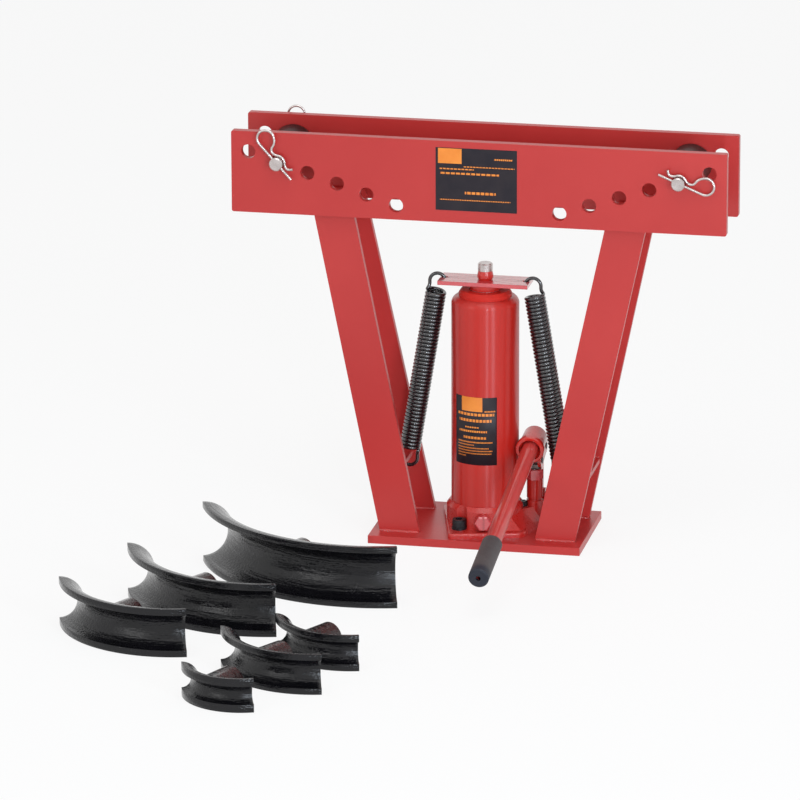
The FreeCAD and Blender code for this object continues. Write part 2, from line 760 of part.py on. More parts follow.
inner = "(reservoir_dia / 2 - reservoir_wall)"
slope = "(shoulder_round - reservoir_wall)"
reservoir = turned("reservoir_tube", [
    (inner, "jack_top"), ("reservoir_dia / 2", "jack_top"), ("reservoir_dia / 2", "reservoir_top"),
    ("cylinder_dia / 2 + thread_fit", "reservoir_top"),
    ("cylinder_dia / 2 + thread_fit", "reservoir_top - reservoir_wall"),
    (f"{inner} - {slope}", "reservoir_top - reservoir_wall"),
    (inner, f"reservoir_top - reservoir_wall - {slope}")])
dressed(reservoir, "Fillet", "shoulder_round", lambda edge: (
    edge.CenterOfMass.z > size("reservoir_top") - 0.1 and edge.Length > 6 * size("reservoir_dia") / 2))
drill(reservoir, "XZ", "0", ("0", "jack_top + filler_height"), "filler_dia / 2 + thread_fit",
      "reservoir_dia", reversed=False)

rod_bore = "(rod_dia / 2 + loose_fit)"
wiper_r = "(piston_dia / 2)"
turned("head_nut", [
    ("cylinder_dia / 2 + thread_fit", "reservoir_top"), ("nut_dia / 2", "reservoir_top"),
    ("nut_dia / 2", "reservoir_top + nut_height / 2"), ("nut_top_dia / 2", "nut_top"),
    (rod_bore, "nut_top"), (rod_bore, "cylinder_top + wiper_thick"),
    (wiper_r, "cylinder_top + wiper_thick"), (wiper_r, "cylinder_top"),
    ("cylinder_dia / 2 + thread_fit", "cylinder_top")])
turned("rod_wiper_seal", rectangle("rod_dia / 2 + running_fit", wiper_r,
                                   "cylinder_top", "cylinder_top + wiper_thick"))
turned("guide_bushing", rectangle("rod_dia / 2 + running_fit", "piston_dia / 2 - thread_fit",
                                  "bushing_bottom", "cylinder_top"))
turned("filler_plug", [
    ("0", "reservoir_dia / 2 - reservoir_wall - 2"),
    ("filler_dia / 2", "reservoir_dia / 2 - reservoir_wall - 2"),
    ("filler_dia / 2", "reservoir_dia / 2 + 0.3"), ("filler_head_dia / 2", "reservoir_dia / 2 + 0.3"),
    ("filler_head_dia / 2", "reservoir_dia / 2 + filler_head"),
    ("0", "reservoir_dia / 2 + filler_head + 0.8")],
    ("0", "0", "jack_top + filler_height"), (1, 0, 0), "-90")


# Ram: rod with its piston, cup seal, crossbar and tip

groove_low = "rod_bottom + piston_height / 2 - seal_height / 2"
groove_high = "rod_bottom + piston_height / 2 + seal_height / 2"
groove_r = "(piston_dia / 2 - seal_depth)"
land_r = "(piston_dia / 2 - running_fit)"
stud_r = "(stud_dia / 2 + thread_fit)"
turned("ram_rod", [
    ("0", "rod_bottom"), (land_r, "rod_bottom"), (land_r, groove_low), (groove_r, groove_low),
    (groove_r, groove_high), (land_r, groove_high), (land_r, "rod_bottom + piston_height"),
    ("rod_dia / 2", "rod_bottom + piston_height"), ("rod_dia / 2", "rod_top"), (stud_r, "rod_top"),
    (stud_r, "rod_top - stud_length - 1"), ("0", "rod_top - stud_length - 1")])
turned("piston_seal", rectangle(groove_r, land_r, groove_low, groove_high))

bar = body_at("crossbar", ("0", "0", "rod_top"))
strap = sketch_on(bar, "XY")
polygon(strap, rectangle("-crossbar_length / 2", "crossbar_length / 2",
                         "-crossbar_width / 2", "crossbar_width / 2"))
for sign in ("", "-"):
    circle(strap, f"{sign}(crossbar_hole_x + crossbar_hole_out)", "0", "crossbar_hole_dia / 2")
circle(strap, "0", "0", "stud_dia / 2 + loose_fit")
pad(bar, strap, "crossbar_thick")

turned("ram_tip_holder", [
    ("0", "rod_top - stud_length"), ("stud_dia / 2", "rod_top - stud_length"),
    ("stud_dia / 2", "crossbar_top"), ("neck_dia / 2 - 1.5", "crossbar_top"),
    ("neck_dia / 2", "crossbar_top + 3"), ("neck_dia / 2", "crossbar_top + 6"),
    ("neck_dia / 2 - 1.2", "neck_top"), ("tip_stud_dia / 2 + thread_fit", "neck_top"),
    ("tip_stud_dia / 2 + thread_fit", "neck_top - tip_stud_length - 0.5"),
    ("0", "neck_top - tip_stud_length - 0.5")])
turned("ram_tip", [
    ("0", "neck_top - tip_stud_length"), ("tip_stud_dia / 2", "neck_top - tip_stud_length"),
    ("tip_stud_dia / 2", "neck_top"), ("tip_dia / 2", "neck_top"),
    ("tip_dia / 2", "tip_top - tip_chamfer"), ("tip_dia / 2 - tip_chamfer", "tip_top"),
    ("0", "tip_top")])


# Relief valve at the left end of its gallery: ball, spring sleeve and screw

relief_ball_u = "(relief_seat + ball_seat_rise)"
ball("relief_ball", (f"-{relief_ball_u} * cos(jack_turn)", f"-{relief_ball_u} * sin(jack_turn)",
                     "gallery_z"))
relief_screw_u = "(drum - relief_screw_end)"
sleeve_r = "(ball_dia / 2 + 0.4)"
lying("relief_spring", "XZ", rectangle(f"-{relief_screw_u}", f"-{relief_ball_u} - ball_dia / 2 - thread_fit",
                                       f"{sleeve_r} - relief_sleeve_wall", sleeve_r),
      rise="gallery_z", angle="jack_turn")
lying("relief_screw", "XZ", rectangle("-drum + 0.5", f"-{relief_screw_u}", "0",
                                      f"{chamber} - thread_fit"),
      rise="gallery_z", angle="jack_turn")


# Pump beside the jack: cylinder, packing, gland nut, plunger, its pin and the two check balls

pump_at = ("pump_x", "pump_y", "0")
plunger_bore = "(plunger_dia / 2 + running_fit)"
turned("pump_cylinder", [
    (plunger_bore, "pump_floor"), ("pump_thread_dia / 2", "pump_floor"),
    ("pump_thread_dia / 2", "jack_top"), ("pump_thread_dia / 2 + 0.4", "jack_top"),
    ("pump_thread_dia / 2 + 0.4", "jack_top + pump_groove"),
    ("pump_cylinder_dia / 2", "jack_top + pump_groove"),
    ("pump_cylinder_dia / 2", "pump_cylinder_top"), (plunger_bore, "pump_cylinder_top")], pump_at)
turned("pump_seal", rectangle(plunger_bore, "pump_seal_dia / 2",
                              "pump_cylinder_top", "pump_cylinder_top + pump_seal_height"), pump_at)
gland = body_at("pump_gland_nut", pump_at)
flats = sketch_on(gland, "XY", lift="pump_cylinder_top", turn="jack_turn")
polygon(flats, hexagon("0", "0", "gland_across"))
pad(gland, flats, "gland_height")
seat = sketch_on(gland, "XZ")
polygon(seat, [("0", "pump_cylinder_top - 1"), ("pump_seal_dia / 2", "pump_cylinder_top - 1"),
               ("pump_seal_dia / 2", "pump_cylinder_top + pump_seal_height"),
               ("plunger_dia / 2 + loose_fit", "pump_cylinder_top + pump_seal_height"),
               ("plunger_dia / 2 + loose_fit", "gland_top + 1"), ("0", "gland_top + 1")])
revolve(gland, "Groove", seat)
crown = sketch_on(gland, "XZ")
chamfer_r = "gland_across / 2 - gland_chamfer"
polygon(crown, [(chamfer_r, "gland_top"), (chamfer_r, "gland_top + 1"),
                ("gland_across", "gland_top + 1"), ("gland_across", "gland_top - gland_across / 4")])
revolve(gland, "Groove", crown)

plunger = body_at("pump_plunger", pump_at)
plunger_low = "(pump_floor + 0.5)"
shoulder = "(plunger_pin_z - lug_round - 1.2)"
stem = sketch_on(plunger, "XY", lift=plunger_low)
circle(stem, "0", "0", "plunger_dia / 2")
pad(plunger, stem, f"{shoulder} - {plunger_low}")
eye = sketch_on(plunger, "YZ")
circle(eye, "0", "plunger_pin_z", "link_width / 2")
pad(plunger, eye, "link_thick", middle=True)
neck = sketch_on(plunger, "XY", lift=shoulder)
polygon(neck, rectangle("-link_thick / 2", "link_thick / 2", "-plunger_dia / 2 + 1.5",
                        "plunger_dia / 2 - 1.5"))
pad(plunger, neck, "link_width / 2")
drill(plunger, "YZ", "link_thick", ("0", "plunger_pin_z"), "link_pin_dia / 2 + thread_fit",
      "2 * link_thick")


def cross_pin(label, y, z):
    """A plain pin across the lever's fork, with chamfered ends."""
    end = "(lug_outer + 1)"
    lying(label, "XZ", [(f"-{end}", "0"), (f"-{end}", "link_pin_dia / 2 - 0.8"),
                        (f"-{end} + 0.8", "link_pin_dia / 2"), (f"{end} - 0.8", "link_pin_dia / 2"),
                        (end, "link_pin_dia / 2 - 0.8"), (end, "0")],
          rise=z, where=("pump_x", y, "0"))


cross_pin("plunger_pin", "pump_y", "plunger_pin_z")
cross_pin("fulcrum_pin", "fulcrum_y", "fulcrum_z")
cross_pin("link_foot_pin", "fulcrum_y", "link_foot_z")
ball("suction_ball", ("pump_x", "pump_y", "suction_seat + ball_seat_rise"))
delivery_u = "(check_out - ball_seat_rise)"
ball("delivery_ball", (f"{delivery_u} * cos(jack_turn) + check_side * sin(jack_turn)",
                       f"{delivery_u} * sin(jack_turn) - check_side * cos(jack_turn)", "gallery_z"))
plug = turned("delivery_plug", [
    ("0", "arm_top - plug_stem"), ("plug_dia / 2", "arm_top - plug_stem"), ("plug_dia / 2", "arm_top"),
    ("plug_head_dia / 2", "arm_top"), ("plug_head_dia / 2", "arm_top + plug_head - 1"),
    ("plug_head_dia / 2 - 1", "arm_top + plug_head"), ("0", "arm_top + plug_head")],
    ("plug_u * cos(jack_turn) + check_side * sin(jack_turn)",
     "plug_u * sin(jack_turn) - check_side * cos(jack_turn)", "0"))
key = sketch_on(plug, "XY", lift="arm_top + plug_head")
polygon(key, hexagon("0", "0", "plug_key"))
pocket(plug, key, "plug_head / 2")

link = body_at("pump_link", ("pump_x", "fulcrum_y", "0"))
strip = sketch_on(link, "YZ")
polygon(strip, rectangle("-link_width / 2", "link_width / 2", "link_foot_z", "fulcrum_z"))
pad(link, strip, "link_thick", middle=True)
for z in ("link_foot_z", "fulcrum_z"):
    rounding = sketch_on(link, "YZ")
    circle(rounding, "0", z, "link_width / 2")
    pad(link, rounding, "link_thick", middle=True)
for z in ("link_foot_z", "fulcrum_z"):
    drill(link, "YZ", "link_thick", ("0", z), "link_pin_dia / 2 + thread_fit", "2 * link_thick")


# Lever: a forked socket that swings on the link, drawn level about its fulcrum

fulcrum = ("pump_x", "fulcrum_y", "fulcrum_z")
socket = body_at("pump_socket", fulcrum, (1, 0, 0), "lever_dip")
rear = "(socket_length - socket_front)"
cheeks = sketch_on(socket, "YZ")
polygon(cheeks, [
    ("lug_round * 0.6", "-lug_round * 0.8"), ("lug_round", "lug_round * 0.2"),
    ("lug_round * 0.5", "socket_rise - socket_rear_dia / 2 + 4"), (f"{rear} + 8", "socket_rise"),
    (f"{rear} - 30", "socket_rise"), (f"{rear} - 32", "socket_rise - socket_rear_dia / 2 - 1"),
    ("-crank * cos(crank_dip) - lug_round * 0.8", "-crank * sin(crank_dip) + lug_round * 0.4"),
    ("-crank * cos(crank_dip)", "-crank * sin(crank_dip) - lug_round * 0.97")])
pad(socket, cheeks, "2 * lug_outer", middle=True)
for y, z in (("0", "0"), ("-crank * cos(crank_dip)", "-crank * sin(crank_dip)")):
    rounding = sketch_on(socket, "YZ")
    circle(rounding, y, z, "lug_round")
    pad(socket, rounding, "2 * lug_outer", middle=True)
fork = sketch_on(socket, "YZ")
polygon(fork, rectangle(f"{rear} - 60", "2 * lug_round", "-3 * lug_round", "lug_round + 0.6"))
pocket(socket, fork, "fork_gap", middle=True)
tube_r = "(socket_rear_dia / 2)"
barrel = sketch_on(socket, "YZ", rise="socket_rise")
polygon(barrel, [
    ("-socket_front", "0"), ("-socket_front", "socket_ring_dia / 2 - 1"),
    ("-socket_front + 1", "socket_ring_dia / 2"), ("-socket_front + socket_ring", "socket_ring_dia / 2"),
    ("-socket_front + socket_ring + 3", f"{tube_r} + 1"), (f"{rear} - 5", tube_r),
    (f"{rear} - 2", f"{tube_r} - 2"), (rear, f"{tube_r} - 6"), (rear, "0")])
revolve(socket, "Revolution", barrel, "H_Axis")
mouth = sketch_on(socket, "YZ", rise="socket_rise")
polygon(mouth, [
    ("-socket_front - 1", "0"), ("-socket_front - 1", "socket_mouth_dia / 2"),
    ("-socket_front + socket_mouth - 2", "socket_mouth_dia / 2"),
    ("-socket_front + socket_mouth", "handle_dia / 2 + loose_fit"),
    (f"{rear} - socket_back_wall", "handle_dia / 2 + loose_fit"), (f"{rear} - socket_back_wall", "0")])
revolve(socket, "Groove", mouth, "H_Axis")
drill(socket, "YZ", "2 * lug_outer", ("0", "0"), "link_pin_dia / 2 + running_fit", "4 * lug_outer")
lug_hole = ("-(crank - lug_hole_in) * cos(crank_dip)", "-(crank - lug_hole_in) * sin(crank_dip)")
drill(socket, "YZ", "2 * lug_outer", lug_hole, "link_pin_dia / 2 + lug_hole_play", "4 * lug_outer")


# Handle tube and its grip, on the lever's own level line

lying("handle_tube", "YZ", rectangle(
    "-handle_reach + grip_cap", f"{rear} - socket_back_wall - loose_fit",
    "handle_dia / 2 - handle_wall", "handle_dia / 2"),
      rise="socket_rise", where=fulcrum, axis=(1, 0, 0), angle="lever_dip")
lying("handle_grip", "YZ", [
    ("-handle_reach", "grip_eye_dia / 2"), ("-handle_reach", "grip_dia / 2 - 1.5"),
    ("-handle_reach + 1.5", "grip_dia / 2"), ("-handle_reach + grip_length - 1", "grip_dia / 2"),
    ("-handle_reach + grip_length", "grip_dia / 2 - 1"), ("-handle_reach + grip_length", "handle_dia / 2"),
    ("-handle_reach + grip_cap", "handle_dia / 2"), ("-handle_reach + grip_cap", "grip_eye_dia / 2")],
      rise="socket_rise", where=fulcrum, axis=(1, 0, 0), angle="lever_dip")


# Release valve: a hexagon screw with a slot and a conical seat

valve_face = "(drum + valve_boss + loose_fit)"
valve = lying("release_valve", "YZ", [
    (f"-{valve_face}", "0"), (f"-{valve_face}", "valve_stem_dia / 2"),
    (f"-{stem_end} - 1", "valve_stem_dia / 2"), (f"-{stem_end}", "valve_stem_dia / 2 - 2"),
    ("-valve_seat - 3", "valve_stem_dia / 2 - 2"), ("-valve_seat - 0.4", "0.6"),
    ("-valve_seat - 0.4", "0")], rise="valve_z", lift="valve_u", angle="jack_turn")
head = sketch_on(valve, "XZ", lift=valve_face)
polygon(head, hexagon("valve_u", "valve_z", "valve_across"))
pad(valve, head, "valve_head")
dressed(valve, "Chamfer", "valve_head / 5", lambda edge: (
    edge.CenterOfMass.y < -size("drum") - size("valve_boss") - size("valve_head")))
slot = sketch_on(valve, "XZ", lift=f"{valve_face} + valve_head")
polygon(slot, rectangle("valve_u - valve_slot / 2", "valve_u + valve_slot / 2",
                        "valve_z - valve_across", "valve_z + valve_across"))
pocket(valve, slot, "valve_head / 3")


# Rollers on their pins, and the two sprung clips of each pin

def across(label, profile, sign):
    """A turned piece whose own upright axis lies along the pin of one side."""
    return turned(label, profile, (f"{sign}pin_x", "0", "pin_z"), (1, 0, 0), "90")


# a clip's angle in the beam's plane, and whether its sprung leg lies on the other side
CLIPS = {"left": ((-47.6, False), (-71.1, False)), "right": ((157.7, True), (157.7, True))}


def clip_wire_shape(side, sign, front, angle, flipped):
    """One sprung clip: a straight leg through the pin, a loop and a leg that hugs the pin."""
    loop, reach, hug = size("clip_loop"), size("clip_reach"), size("pin_dia") / 2 + size("clip_wire") / 2
    dip, nape = size("clip_dip"), size("clip_neck")
    plan = [((size("clip_leg"), 0), 180), ((-reach, 0), 180), ((-reach - loop, loop), 90),
            ((-reach, 2 * loop), 0), ((-reach + loop * 0.8, loop * 1.66), -38), ((-nape, dip), 0),
            ((0, hug + size("loose_fit")), 0), ((nape, dip), 0), ((nape + 5.5, dip + 5), 55)]
    stations = []
    for (along, aside), way in plan:
        radians = math.radians(way)
        stations.append((Vector(along, aside, 0), Vector(math.cos(radians), math.sin(radians), 0)))
    wire = bent_wire(stations, size("clip_wire"))
    if flipped:
        wire.rotate(Vector(0, 0, 0), Vector(1, 0, 0), 180)
    wire.rotate(Vector(0, 0, 0), Vector(0, 0, 1), angle)
    wire.rotate(Vector(0, 0, 0), Vector(1, 0, 0), 90)
    plane = -size("clip_plane") if front else size("clip_plane")
    wire.translate(Vector(sign * size("pin_x"), plane, size("pin_z")))
    return wire


half_pin = "(pin_length / 2)"
half_roller = "(beam_inner - roller_side_gap)"
for side, sign in (("left", "-"), ("right", "")):
    across(f"{side}_roller", [
        ("pin_dia / 2 + running_fit", f"-{half_roller}"),
        ("roller_dia / 2 - roller_chamfer", f"-{half_roller}"),
        ("roller_dia / 2", f"-{half_roller} + roller_chamfer"),
        ("roller_dia / 2", f"{half_roller} - roller_chamfer"),
        ("roller_dia / 2 - roller_chamfer", half_roller), ("pin_dia / 2 + running_fit", half_roller)], sign)
    pin = across(f"{side}_roller_pin", [
        ("0", f"-{half_pin}"), ("pin_dia / 2 - pin_chamfer", f"-{half_pin}"),
        ("pin_dia / 2", f"-{half_pin} + pin_chamfer"), ("pin_dia / 2", f"{half_pin} - pin_chamfer"),
        ("pin_dia / 2 - pin_chamfer", half_pin), ("0", half_pin)], sign)
    shapes = []
    for front, (angle, flipped) in zip((True, False), CLIPS[side]):
        bore = sketch_on(pin, "YZ", swing=str(angle % 360))
        circle(bore, "0", "clip_plane" if front else "-clip_plane", "clip_wire / 2 + loose_fit")
        pocket(pin, bore, middle=True)
        shapes.append(clip_wire_shape(side, -1 if sign else 1, front, angle, flipped))
    shaped(f"{side}_pin_clips", Part.makeCompound(shapes))


# Return springs: close coils from the tie plates up to the crossbar, with a hook at each end

def return_spring(label, side):
    """One coil spring in the plane of the ram, whose ends rise or fall out of the last turn."""
    foot = Vector(side * size("spring_foot_x"), 0, size("spring_foot_z"))
    head = Vector(side * size("spring_top_x"), 0, size("spring_top_z"))
    up = Vector(0, 0, 1)
    aside = Vector(side, 0, 0)
    along = (head - foot).normalize()
    outward = (aside - along * aside.dot(along)).normalize()
    across_way = along.cross(outward)
    wire = size("spring_wire")
    mean = (size("spring_dia") - wire) / 2
    turns = int(size("spring_turns"))
    pitch = (head - foot).Length / turns

    def on_coil(step):
        """Return the wire's point and direction after some half turns from the outer side."""
        angle = math.pi * step
        radial = outward * math.cos(angle) + across_way * math.sin(angle)
        spin = outward * -math.sin(angle) + across_way * math.cos(angle)
        point = foot + along * (pitch * step / 2) + radial * mean
        way = (spin * (2 * math.pi * mean) + along * pitch).normalize()
        return point, way

    # lower hook: from the tie plate's hole down, under its inner edge and up into the coil
    eye = size("spring_eye")
    middle = aside * size("spring_foot_x") + up * (size("tie_bottom") + size("spring_eye_rise"))
    lower = [
        (middle + aside * eye + up * 2, -up), (middle + aside * eye, -up), (middle - up * eye, -aside),
        (middle - aside * eye, up), (middle - aside * eye + up * 3, up)]
    # upper hook: over the crossbar's end and down through its hole
    hook = size("spring_hook")
    hole = aside * size("crossbar_hole_x") + up * (size("crossbar_top") - size("spring_hook_sink"))
    upper = [
        (hole + aside * (2 * hook) - up * 2, up), (hole + aside * (2 * hook), up),
        (hole + aside * hook + up * hook, -aside), (hole, -up), (hole - up * 4, -up)]
    stations = lower + [on_coil(step) for step in range(1, 2 * turns + 1)] + upper
    shaped(label, bent_wire(stations, wire))
    print(f"{label}: least gap to itself {least_gap(stations, wire, math.pi * mean):.2f} mm")


return_spring("left_return_spring", -1)
return_spring("right_return_spring", 1)


# Bending dies: a half-round groove swept on an arc, with a hub and two webs behind it

# arc radius, pipe outside diameter, width, half of the swept angle, centre on the floor, heading
DIES = {
    "die_2_inch": (220, 60.3, 75, 42, -105, -98, 26),
    "die_1_1_2_inch": (169, 48.3, 64, 45, -204, -276, 30),
    "die_1_1_4_inch": (138, 42.2, 58, 45, -288, -398, 27),
    "die_1_inch": (108, 33.4, 48, 46.5, -96, -523, 30),
    "die_3_4_inch": (88, 26.7, 43, 46, -68, -455, 28),
    "die_1_2_inch": (69, 21.3, 40, 48, -155, -637, 24),
}


def die(label, values):
    """One die, lying on the side of its lips, with its hub's axis level."""
    radius, pipe, width, half, x, y, heading = values
    made = body_at(label, (str(x), str(y), "0"), (0, 0, 1), str(-90 - heading))
    middle, back = width / 2, radius - width / 2
    section = sketch_on(made, "XZ")
    half_disc_left(section, str(radius), str(middle), str(width / 2))
    revolve(made, "Revolution", section, angle=str(2 * half), middle=True)
    hub = sketch_on(made, "YZ", lift=f"{back} - die_hub_length")
    circle(hub, "0", str(middle), "die_hub_dia / 2")
    pad(made, hub, f"{width / 2 - 3} + die_hub_length")
    web = sketch_on(made, "XY", lift=str(middle))
    rim = radius - pipe / 4
    spread = math.radians(half - 14)
    polygon(web, [
        (f"{back} - die_hub_length + die_rib_setback", "0"),
        (str(rim * math.cos(spread)), str(-rim * math.sin(spread))),
        (str(rim * math.cos(spread / 2)), str(-rim * math.sin(spread / 2))), (str(rim), "0"),
        (str(rim * math.cos(spread / 2)), str(rim * math.sin(spread / 2))),
        (str(rim * math.cos(spread)), str(rim * math.sin(spread)))])
    pad(made, web, "die_rib", middle=True)
    groove = sketch_on(made, "XZ")
    circle(groove, str(radius), str(middle), str(pipe / 2))
    revolve(made, "Groove", groove)
    drill(made, "YZ", f"{back} - die_hub_length", ("0", str(middle)), "die_bore_dia / 2",
          "die_bore_depth", reversed=True)


for label, values in DIES.items():
    die(label, values)


# Check every object, then write one STEP file for each piece

doc.recompute()
for item in doc.Objects:
    if "Invalid" in item.State or "Error" in item.State:
        raise RuntimeError(f"{item.Label}: {item.State}")
os.makedirs("parts", exist_ok=True)
for piece in PARTS:
    shape = piece.Shape
    if shape.isNull() or not shape.isValid():
        raise RuntimeError(f"{piece.Label} has no valid shape")
    shape.exportStep(f"parts/{piece.Label}.step")
print(len(PARTS), "pieces")
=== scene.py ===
"""Finishes, labels, welds and light for the hydraulic pipe bender, in metres, in model.glb's own frame."""
import math

import bpy
import numpy as np
from mathutils import Matrix, Vector


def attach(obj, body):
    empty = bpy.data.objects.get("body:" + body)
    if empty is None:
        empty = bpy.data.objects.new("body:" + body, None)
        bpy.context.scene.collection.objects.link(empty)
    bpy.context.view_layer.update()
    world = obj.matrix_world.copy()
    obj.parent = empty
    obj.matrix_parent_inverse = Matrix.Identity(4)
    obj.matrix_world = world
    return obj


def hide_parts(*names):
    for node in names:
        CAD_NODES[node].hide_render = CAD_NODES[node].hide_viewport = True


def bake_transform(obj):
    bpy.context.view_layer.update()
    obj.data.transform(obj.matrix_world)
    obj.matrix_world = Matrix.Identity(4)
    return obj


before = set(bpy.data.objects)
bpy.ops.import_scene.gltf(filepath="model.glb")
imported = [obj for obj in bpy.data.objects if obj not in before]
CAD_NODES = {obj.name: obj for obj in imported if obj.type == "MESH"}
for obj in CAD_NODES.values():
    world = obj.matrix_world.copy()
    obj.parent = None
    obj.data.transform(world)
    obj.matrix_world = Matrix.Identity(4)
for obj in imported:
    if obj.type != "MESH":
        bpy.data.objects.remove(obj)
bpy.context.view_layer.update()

MM = 0.001


def corners_of(label):
    """The lowest and the highest corner of a CAD node's box, from its mesh."""
    vertices = CAD_NODES[label].data.vertices
    points = np.zeros(3 * len(vertices), np.float32)
    vertices.foreach_get("co", points)
    points = points.reshape(-1, 3).astype(float)
    return points.min(axis=0), points.max(axis=0)


BASE_TOP_Z = corners_of("base_plate")[1][2]
BEAM_LOW, BEAM_HIGH = corners_of("front_beam_plate")
TIE_LOW, TIE_HIGH = corners_of("right_tie_plate")
TUBE_RADIUS = corners_of("reservoir_tube")[1][0]

# Camera

CAMERA_PLACE = (1.506817, -7.696220, 2.533822)
CAMERA_YAW = 0.206467
CAMERA_PITCH = 0.293189
CAMERA_ROLL = -0.003269
CAMERA_LENS = 305.28


def place_camera():
    """The camera at the photograph's viewing point, turned by yaw and pitch and then rolled a little."""
    forward = Vector((-math.sin(CAMERA_YAW) * math.cos(CAMERA_PITCH),
                      math.cos(CAMERA_YAW) * math.cos(CAMERA_PITCH), -math.sin(CAMERA_PITCH)))
    level = Vector((math.cos(CAMERA_YAW), math.sin(CAMERA_YAW), 0))
    upright = level.cross(forward)
    right = level * math.cos(CAMERA_ROLL) + upright * math.sin(CAMERA_ROLL)
    up = upright * math.cos(CAMERA_ROLL) - level * math.sin(CAMERA_ROLL)
    camera = bpy.data.objects.new("view_camera", bpy.data.cameras.new("view_camera"))
    bpy.context.scene.collection.objects.link(camera)
    turn = Matrix((right, up, -forward)).transposed()
    camera.matrix_world = Matrix.Translation(CAMERA_PLACE) @ turn.to_4x4()
    camera.data.sensor_width = 36
    camera.data.lens = CAMERA_LENS
    camera.data.clip_start = 0.1
    camera.data.clip_end = 100
    bpy.context.scene.camera = camera


# Meshes

def mesh_piece(name, points, faces, material, body, smooth=True, uv=None):
    """A mesh object made of worked-out points, with its place in its mesh, riding on a body."""
    mesh = bpy.data.meshes.new(name)
    mesh.from_pydata(np.asarray(points, float).tolist(), [], faces)
    mesh.polygons.foreach_set("use_smooth", np.full(len(mesh.polygons), smooth))
    if uv is not None:
        corner_points = np.zeros(len(mesh.loops), np.int32)
        mesh.loops.foreach_get("vertex_index", corner_points)
        layer = mesh.uv_layers.new(name="label_uv")
        layer.data.foreach_set("uv", np.asarray(uv, np.float32)[corner_points].ravel())
    mesh.update()
    piece = bpy.data.objects.new(name, mesh)
    bpy.context.scene.collection.objects.link(piece)
    piece.data.materials.append(material)
    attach(piece, body)
    return piece


def grid_faces(rows, columns, wrap=False):
    """Faces of a grid of points kept row by row; wrap joins each row's last point to its first."""
    last = columns if wrap else columns - 1
    row, column = np.meshgrid(np.arange(rows - 1), np.arange(last), indexing="ij")
    after = (column + 1) % columns
    quads = np.stack([row * columns + column, row * columns + after,
                      (row + 1) * columns + after, (row + 1) * columns + column], axis=-1)
    return quads.reshape(-1, 4).tolist()


def joined(parts):
    """Several (points, faces) pairs made one, with the later faces counted on from the earlier points."""
    points, faces, start = [], [], 0
    for part_points, part_faces in parts:
        points.append(part_points)
        faces += [[corner + start for corner in face] for face in part_faces]
        start += len(part_points)
    return np.concatenate(points), faces


def bead(start, end, out, up, radius, seed):
    """A weld bead: a circle carried along a straight line from start to end. At the way s along it the
    radius is R (1 + 0.1 cos(2 pi s / pitch) + 0.05 w), where w is the sum of two slow sines, times a taper
    that closes both ends as a quarter circle does. Its ripples lean forward by 0.35 of the pitch."""
    start, end = np.array(start, float), np.array(end, float)
    out, up = np.array(out, float), np.array(up, float)
    length = np.linalg.norm(end - start)
    way = (end - start) / length
    pitch = 1.7 * MM
    rows = max(24, int(length / pitch * 5))
    around = 14
    travel = np.linspace(0, length, rows)
    from_end = np.minimum(travel, length - travel)
    taper = np.sqrt(np.clip(1 - (1 - np.minimum(from_end / (radius * 1.2), 1)) ** 2, 0.0025, 1))
    wander = np.sin(travel / (9 * MM) + seed) + 0.6 * np.sin(travel / (4.1 * MM) + 2.3 * seed)
    ripple = 1 + 0.1 * np.cos(2 * np.pi * travel / pitch) + 0.05 * wander
    angle = np.linspace(0, 2 * np.pi, around, endpoint=False)
    size = (radius * taper * ripple)[:, None]
    lean = 0.35 * pitch * np.cos(angle - np.pi / 4)[None, :] * taper[:, None]
    points = (start + way * (travel[:, None, None] + lean[..., None])
              + out * (size * np.cos(angle))[..., None] + up * (size * np.sin(angle))[..., None])
    faces = grid_faces(rows, around, wrap=True)
    caps = [list(range(around - 1, -1, -1)), list(range((rows - 1) * around, rows * around))]
    handed = np.dot(np.cross(out, up), way)
    faces += caps
    if handed < 0:
        faces = [face[::-1] for face in faces]
    return points.reshape(-1, 3), faces


def knurled_band(centre, radius, low, high, ridges, depth):
    """A knurled band round an upright axis: radius r + d |sin(n a / 2)| at angle a, n ridges of depth d,
    with a plain lip above and below and an inner wall a little inside the head, closed into a ring."""
    angle = np.linspace(0, 2 * np.pi, ridges * 6, endpoint=False)
    ridge = np.abs(np.sin(ridges * angle / 2))
    share = np.array([0.0, 0.0, 1.0, 1.0, 0.0, 0.0])
    base = np.array([-0.35, 0.0, 0.04, 0.04, 0.0, -0.35]) * MM
    height = np.array([low, low, low + 0.3 * MM, high - 0.3 * MM, high, high])
    reach = radius + base[:, None] + depth * share[:, None] * ridge[None, :]
    points = np.stack([centre[0] + reach * np.cos(angle), centre[1] + reach * np.sin(angle),
                       np.broadcast_to(height[:, None], reach.shape)], axis=-1)
    rows, columns = reach.shape
    closing = [[column + (rows - 1) * columns, (column + 1) % columns + (rows - 1) * columns,
                (column + 1) % columns, column] for column in range(columns)]
    return points.reshape(-1, 3), grid_faces(rows, columns, wrap=True) + closing


# Shader groups

def plug(tree, kind, inputs=None, **settings):
    """A new node in the tree, with its settings, and with values or other sockets put into its inputs."""
    made = tree.nodes.new(kind)
    for key, value in settings.items():
        setattr(made, key, value)
    for key, value in (inputs or {}).items():
        if isinstance(value, bpy.types.NodeSocket):
            tree.links.new(value, made.inputs[key])
        else:
            made.inputs[key].default_value = value
    return made


def shader_group(name, inputs, outputs):
    """An empty node group with named sockets, and its input and output nodes."""
    tree = bpy.data.node_groups.new(name, "ShaderNodeTree")
    for label, kind, default in inputs:
        socket = tree.interface.new_socket(name=label, in_out="INPUT", socket_type=kind)
        if default is not None:
            socket.default_value = default
    for label, kind in outputs:
        tree.interface.new_socket(name=label, in_out="OUTPUT", socket_type=kind)
    return tree, tree.nodes.new("NodeGroupInput"), tree.nodes.new("NodeGroupOutput")


